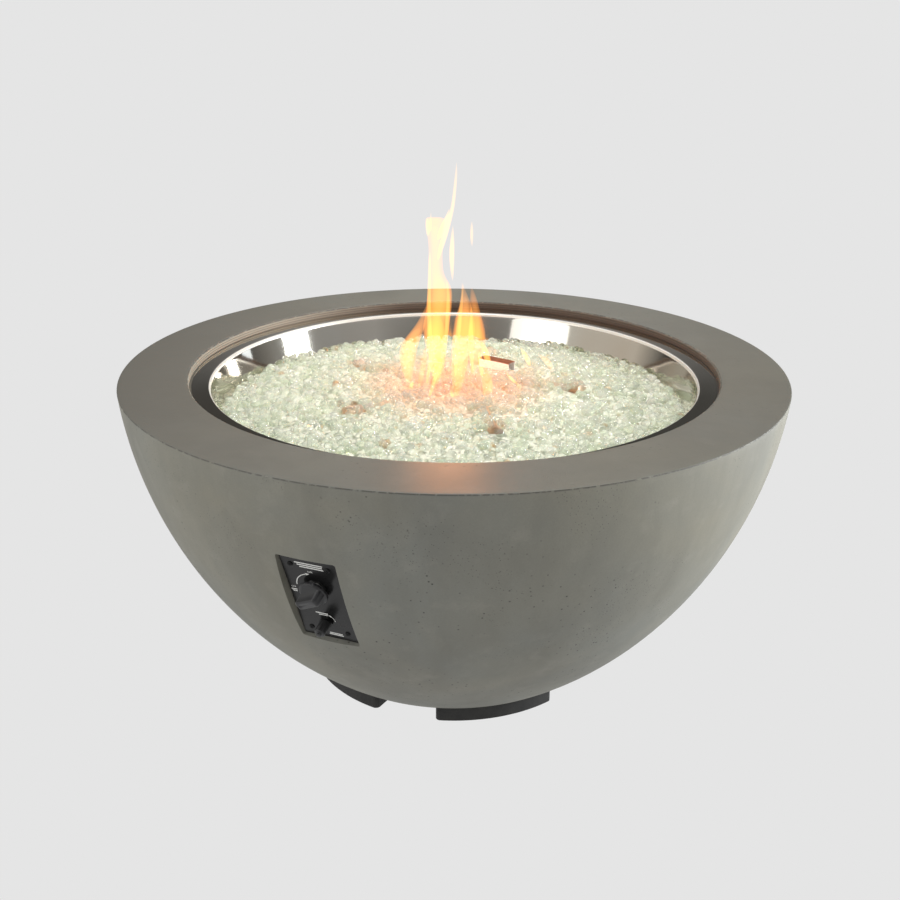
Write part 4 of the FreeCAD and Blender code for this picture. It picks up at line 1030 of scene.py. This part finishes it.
def makeFlames():
    edge = flameFinish("flame_edge", (1.0, 0.34, 0.055, 1), 62.0, 14.0)
    heart = flameFinish("flame_heart", (1.0, 0.6, 0.2, 1), 18.0, 6.0)
    foot = flameFinish("flame_foot", (1.0, 0.40, 0.10, 1), 60.0, 30.0, (0.85, 0.5, 0.2, 1))
    thin = flameFinish("flame_wisp", (1.0, 0.5, 0.12, 1), 190.0, 40.0)
    tongues = {
        "main": (10, [(-24, 489, 2), (-22, 500, 7), (-20, 522, 12), (-22, 549, 18), (-24, 576, 22),
            (-20, 592, 21), (-17, 622, 21), (-16, 643, 20), (-20, 656, 15), (-24, 670, 12),
            (-23, 699, 11), (-24, 722, 12), (-24, 740, 15), (-24, 750, 16), (-24, 752, 12)]),
        "crownLeft": (40, [(-36, 728, 2), (-36, 740, 4), (-37, 752, 3), (-37, 758, 0.8)]),
        "crownRight": (40, [(-20, 722, 3), (-14, 738, 5), (-9, 750, 5), (-4, 762, 3), (-2, 772, 0.6)]),
        "mainStreak": (0, [(-30, 500, 1), (-31, 530, 3), (-33, 570, 4), (-34, 610, 3.6), (-33, 660, 2.6),
            (-32, 700, 2)]),
        "mainStreakRight": (0, [(-8, 530, 1), (-6, 560, 3), (-4, 600, 4), (-2, 630, 3), (-6, 655, 1)]),
        "left": (-10, [(-66, 482, 2), (-68, 498, 8), (-69, 520, 13), (-68, 542, 15), (-60, 560, 15),
            (-50, 576, 11), (-42, 594, 7), (-38, 612, 2)]),
        "fingerLeft": (-30, [(-50, 474, 1), (-47, 492, 5), (-42, 512, 6), (-40, 532, 5), (-36, 552, 1)]),
        "fingerMiddle": (-40, [(-24, 468, 1), (-24, 486, 5), (-19, 506, 7), (-16, 526, 5), (-14, 545, 1)]),
        "fingerSlant": (-60, [(-36, 446, 0.8), (-32, 462, 2.5), (-26, 482, 3.5), (-20, 502, 2.5),
            (-16, 514, 0.8)]),
        "mainFoot": (-10, [(-22, 482, 2), (-21, 500, 9), (-20, 522, 14), (-22, 549, 17), (-23, 572, 16),
            (-22, 590, 10), (-22, 604, 3)]),
        "leftThin": (-20, [(-38, 482, 1), (-35, 500, 3), (-30, 525, 5), (-26, 548, 6), (-22, 566, 2)]),
        "second": (-70, [(10, 454, 1.5), (11, 468, 6), (13, 486, 10), (15, 512, 13), (20, 545, 18),
            (23, 570, 18), (22, 590, 14), (24, 606, 9), (22, 620, 5), (19, 632, 2.5),
            (18, 640, 0.6)]),
        "secondRight": (0, [(36, 502, 4), (42, 528, 11), (44, 555, 15), (44, 576, 13), (41, 600, 8),
            (38, 618, 7), (36, 632, 4), (34, 643, 1)]),
        "secondStreak": (-75, [(8, 490, 1), (10, 520, 4), (12, 560, 4.5), (17, 600, 3), (20, 640, 1)]),
        "flickRight": (-10, [(52, 496, 2), (51, 512, 5), (49, 528, 4), (47, 540, 1)]),
        "secondCore": (-5, [(38, 500, 1), (35, 530, 4), (33, 560, 5), (34, 590, 3), (34, 612, 1)]),
        "third": (20, [(66, 512, 3), (62, 528, 6), (57, 545, 6), (52, 558, 2)]),
        "wisp": (40, [(-20, 690, 2), (-16, 708, 4), (-11, 724, 5), (-5, 744, 4.6), (0, 760, 3.5),
            (4, 776, 3), (7, 805, 2.6), (9, 828, 1.8), (9, 843, 0.5)]),
        "spike": (40, [(-33, 735, 3), (-32, 748, 2.4), (-31, 768, 0.4)]),
        "dropTall": (40, [(4, 657, 0.6), (3, 675, 3.2), (2, 700, 4.6), (3, 722, 3.6), (4, 747, 0.6)]),
        "dropSmall": (40, [(35, 712, 0.6), (34, 725, 2.6), (34, 740, 2.6), (34, 753, 0.6)]),
        "farLeft": (200, [(-98, 560, 1), (-91, 567, 2.4), (-84, 575, 0.6)]),
        "farRight": (110, [(139, 522, 2), (134, 534, 5), (128, 546, 5), (121, 557, 1)]),
        "farRightLow": (95, [(174, 514, 2), (170, 527, 7), (160, 538, 7), (152, 543, 1)]),
        "low": (-55, [(62, 458, 3), (62, 470, 8), (60, 484, 10), (56, 500, 8), (52, 516, 2)]),
        "lowRight": (0, [(118, 476, 1), (108, 487, 3.5), (98, 498, 4), (92, 505, 1)]),
        "front": (-70, [(6, 450, 1.5), (4, 461, 4.5), (2, 473, 1)]),
        "frontLeft": (-20, [(-66, 470, 2), (-63, 480, 6), (-60, 490, 1)]),
    }
    redFooted = ("left", "fingerLeft", "fingerMiddle", "mainFoot", "second", "low")
    thinBelow = 6  # half width in millimetres
    heartFrom = 8  # stations that a tongue needs for a bright heart
    for number, (name, (depth, stations)) in enumerate(tongues.items()):
        wide = max(half for right, level, half in stations) > thinBelow
        body = foot if name in redFooted else edge if wide else thin
        flameTongue("flame_" + name, depth, stations, body, seed=number)
        if wide and len(stations) >= heartFrom:
            flameTongue("flame_" + name + "_heart", depth, stations[:-2], heart, 0.58, number)
    print("flames", len(tongues))


makeFlames()


# Stage, light and camera

studio = {"pale": tone(229, 229, 229), "horizon": (0.30, 0.295, 0.28, 1), "zenith": (0.84, 0.85, 0.88, 1),
          "left": (0.72, 0.70, 0.65, 1), "front": (0.13, 0.12, 0.105, 1), "back": (0.07, 0.068, 0.064, 1)}


def makeStage():
    # A shadowless pale floor, like the plain ground of the photograph
    floor = newPiece("floor", bpy.ops.mesh.primitive_circle_add, vertices=96, radius=60, fill_type="NGON")
    f = Finish("floor_pale")
    coat(floor, f.shade(Base_Color=(0, 0, 0, 1), Roughness=1.0, Specular_IOR_Level=0.0,
                        Emission_Color=studio["pale"], Emission_Strength=1.0))


def makeWorld():
    # The camera sees a plain pale backdrop; light and mirrors see a soft studio round the object:
    # bright above, grey on the left, and darker walls low behind the camera and behind the bowl
    sky = Finish("studio", world=True)
    way = sky.add("ShaderNodeTexCoord", out="Generated")

    def towards(direction):
        return sky.add("ShaderNodeVectorMath", {"operation": "DOT_PRODUCT"}, {0: way, 1: direction},
                       out="Value")

    level = towards((0, 0, 1))
    right = towards((cos(viewYaw), sin(viewYaw), 0))
    back = towards((-sin(viewYaw), cos(viewYaw), 0))
    low = sky.between(level, 0.45, 0.3)
    base = sky.mixColor(sky.between(level, 0.15, 0.75), studio["horizon"], studio["zenith"])
    base = sky.mixColor(sky.between(right, -0.5, -0.85) * low, base, studio["left"])
    base = sky.mixColor(sky.between(back, -0.7, -0.95) * low, base, studio["front"])
    base = sky.mixColor(sky.between(back, 0.25, 0.6) * low, base, studio["back"])
    seen = sky.add("ShaderNodeLightPath", out="Is Camera Ray")
    color = sky.mixColor(seen, base, studio["pale"])
    shine = sky.add("ShaderNodeBackground", sockets={"Color": color, "Strength": 1.0})
    sky.tree.links.new(shine.socket, sky.output.inputs["Surface"])


def lamp(name, kind, spot, mirrored, **settings):
    data = bpy.data.lights.new(name, kind)
    for key, value in settings.items():
        setattr(data, key, value)
    light = bpy.data.objects.new(name, data)
    light.location = spot
    light.visible_camera = False
    light.visible_glossy = mirrored
    bpy.context.collection.objects.link(light)
    return light


def softbox(name, azimuth, elevation, distance, width, height, power, color=(1, 1, 1), mirrored=True,
            shape="RECTANGLE"):
    # An area light round the object; azimuth is measured from the camera's side, to the right
    aim = Vector((0, 0, 0.45))
    angle = viewYaw + radians(azimuth)
    flat = distance * cos(radians(elevation))
    spot = aim + Vector((sin(angle) * flat, -cos(angle) * flat, distance * sin(radians(elevation))))
    light = lamp(name, "AREA", spot, mirrored, shape=shape, size=width, size_y=height, energy=power,
                 color=color)
    light.rotation_euler = (aim - spot).to_track_quat("-Z", "Y").to_euler()


def fireLight(name, right, away, level, power, size, onlyOn=None):
    spot = Matrix.Rotation(viewYaw, 3, "Z") @ Vector((right * mm, away * mm, level * mm))
    light = lamp(name, "POINT", spot, onlyOn is not None, energy=power, color=(1.0, 0.36, 0.12),
                 shadow_soft_size=size * mm)
    if onlyOn:
        group = bpy.data.collections.new(name + "_receivers")
        group.objects.link(bpy.data.objects[onlyOn])
        light.light_linking.receiver_collection = group


def makeLights():
    # The two boxes that the pan mirrors as white shapes also light the bowl from both sides
    coolWhite = (0.94, 0.97, 1.0)
    softbox("top_soft", -20, 72, 3.0, 0.8, 0.8, 14.5)
    softbox("right_low", 72, -6, 2.8, 0.6, 1.0, 17, coolWhite, mirrored=False)
    softbox("right_box", 94, 8, 2.8, 0.7, 1.7, 118, coolWhite)
    softbox("left_front_box", -51, 18, 2.8, 1.05, 0.7, 9, shape="ELLIPSE")
    softbox("left_front_halo", -49, 19, 2.9, 1.7, 1.15, 7, shape="ELLIPSE")
    softbox("left_strip", -100, 0, 2.8, 0.6, 1.2, 16, coolWhite, mirrored=False)
    softbox("back_top", 176, 42, 1.7, 0.7, 0.4, 14, mirrored=False)
    softbox("far_box", 130, 6, 2.8, 0.35, 1.1, 2, (0.85, 0.93, 1.0))
    fireLight("fire_high", -10, 20, 690, 0.9, 55)
    fireLight("fire_low", -5, 30, 540, 0.16, 40)
    fireLight("fire_on_rim", -8, 20, 690, 1.25, 55, onlyOn="concrete_bowl_cast")


def makeCamera():
    view = {"side": -6.088 * mm, "back": -1898.932 * mm, "height": 1102.519 * mm, "pitch": 0.368411,
            "roll": 0.0046655, "lens": 48.6256}
    data = bpy.data.cameras.new("photo_camera")
    data.lens = view["lens"]
    data.sensor_width = 36
    data.clip_end = 200
    camera = bpy.data.objects.new("photo_camera", data)
    turn = Matrix.Rotation(viewYaw, 4, "Z")
    spot = turn @ Vector((view["side"], view["back"], view["height"]))
    camera.matrix_world = (Matrix.Translation(spot) @ turn @ Matrix.Rotation(pi / 2 - view["pitch"], 4, "X")
                           @ Matrix.Rotation(view["roll"], 4, "Z"))
    bpy.context.collection.objects.link(camera)
    bpy.context.scene.camera = camera


makeStage()
makeWorld()
makeLights()
makeCamera()
bpy.context.scene.view_settings.view_transform = "Standard"
print("stage set")
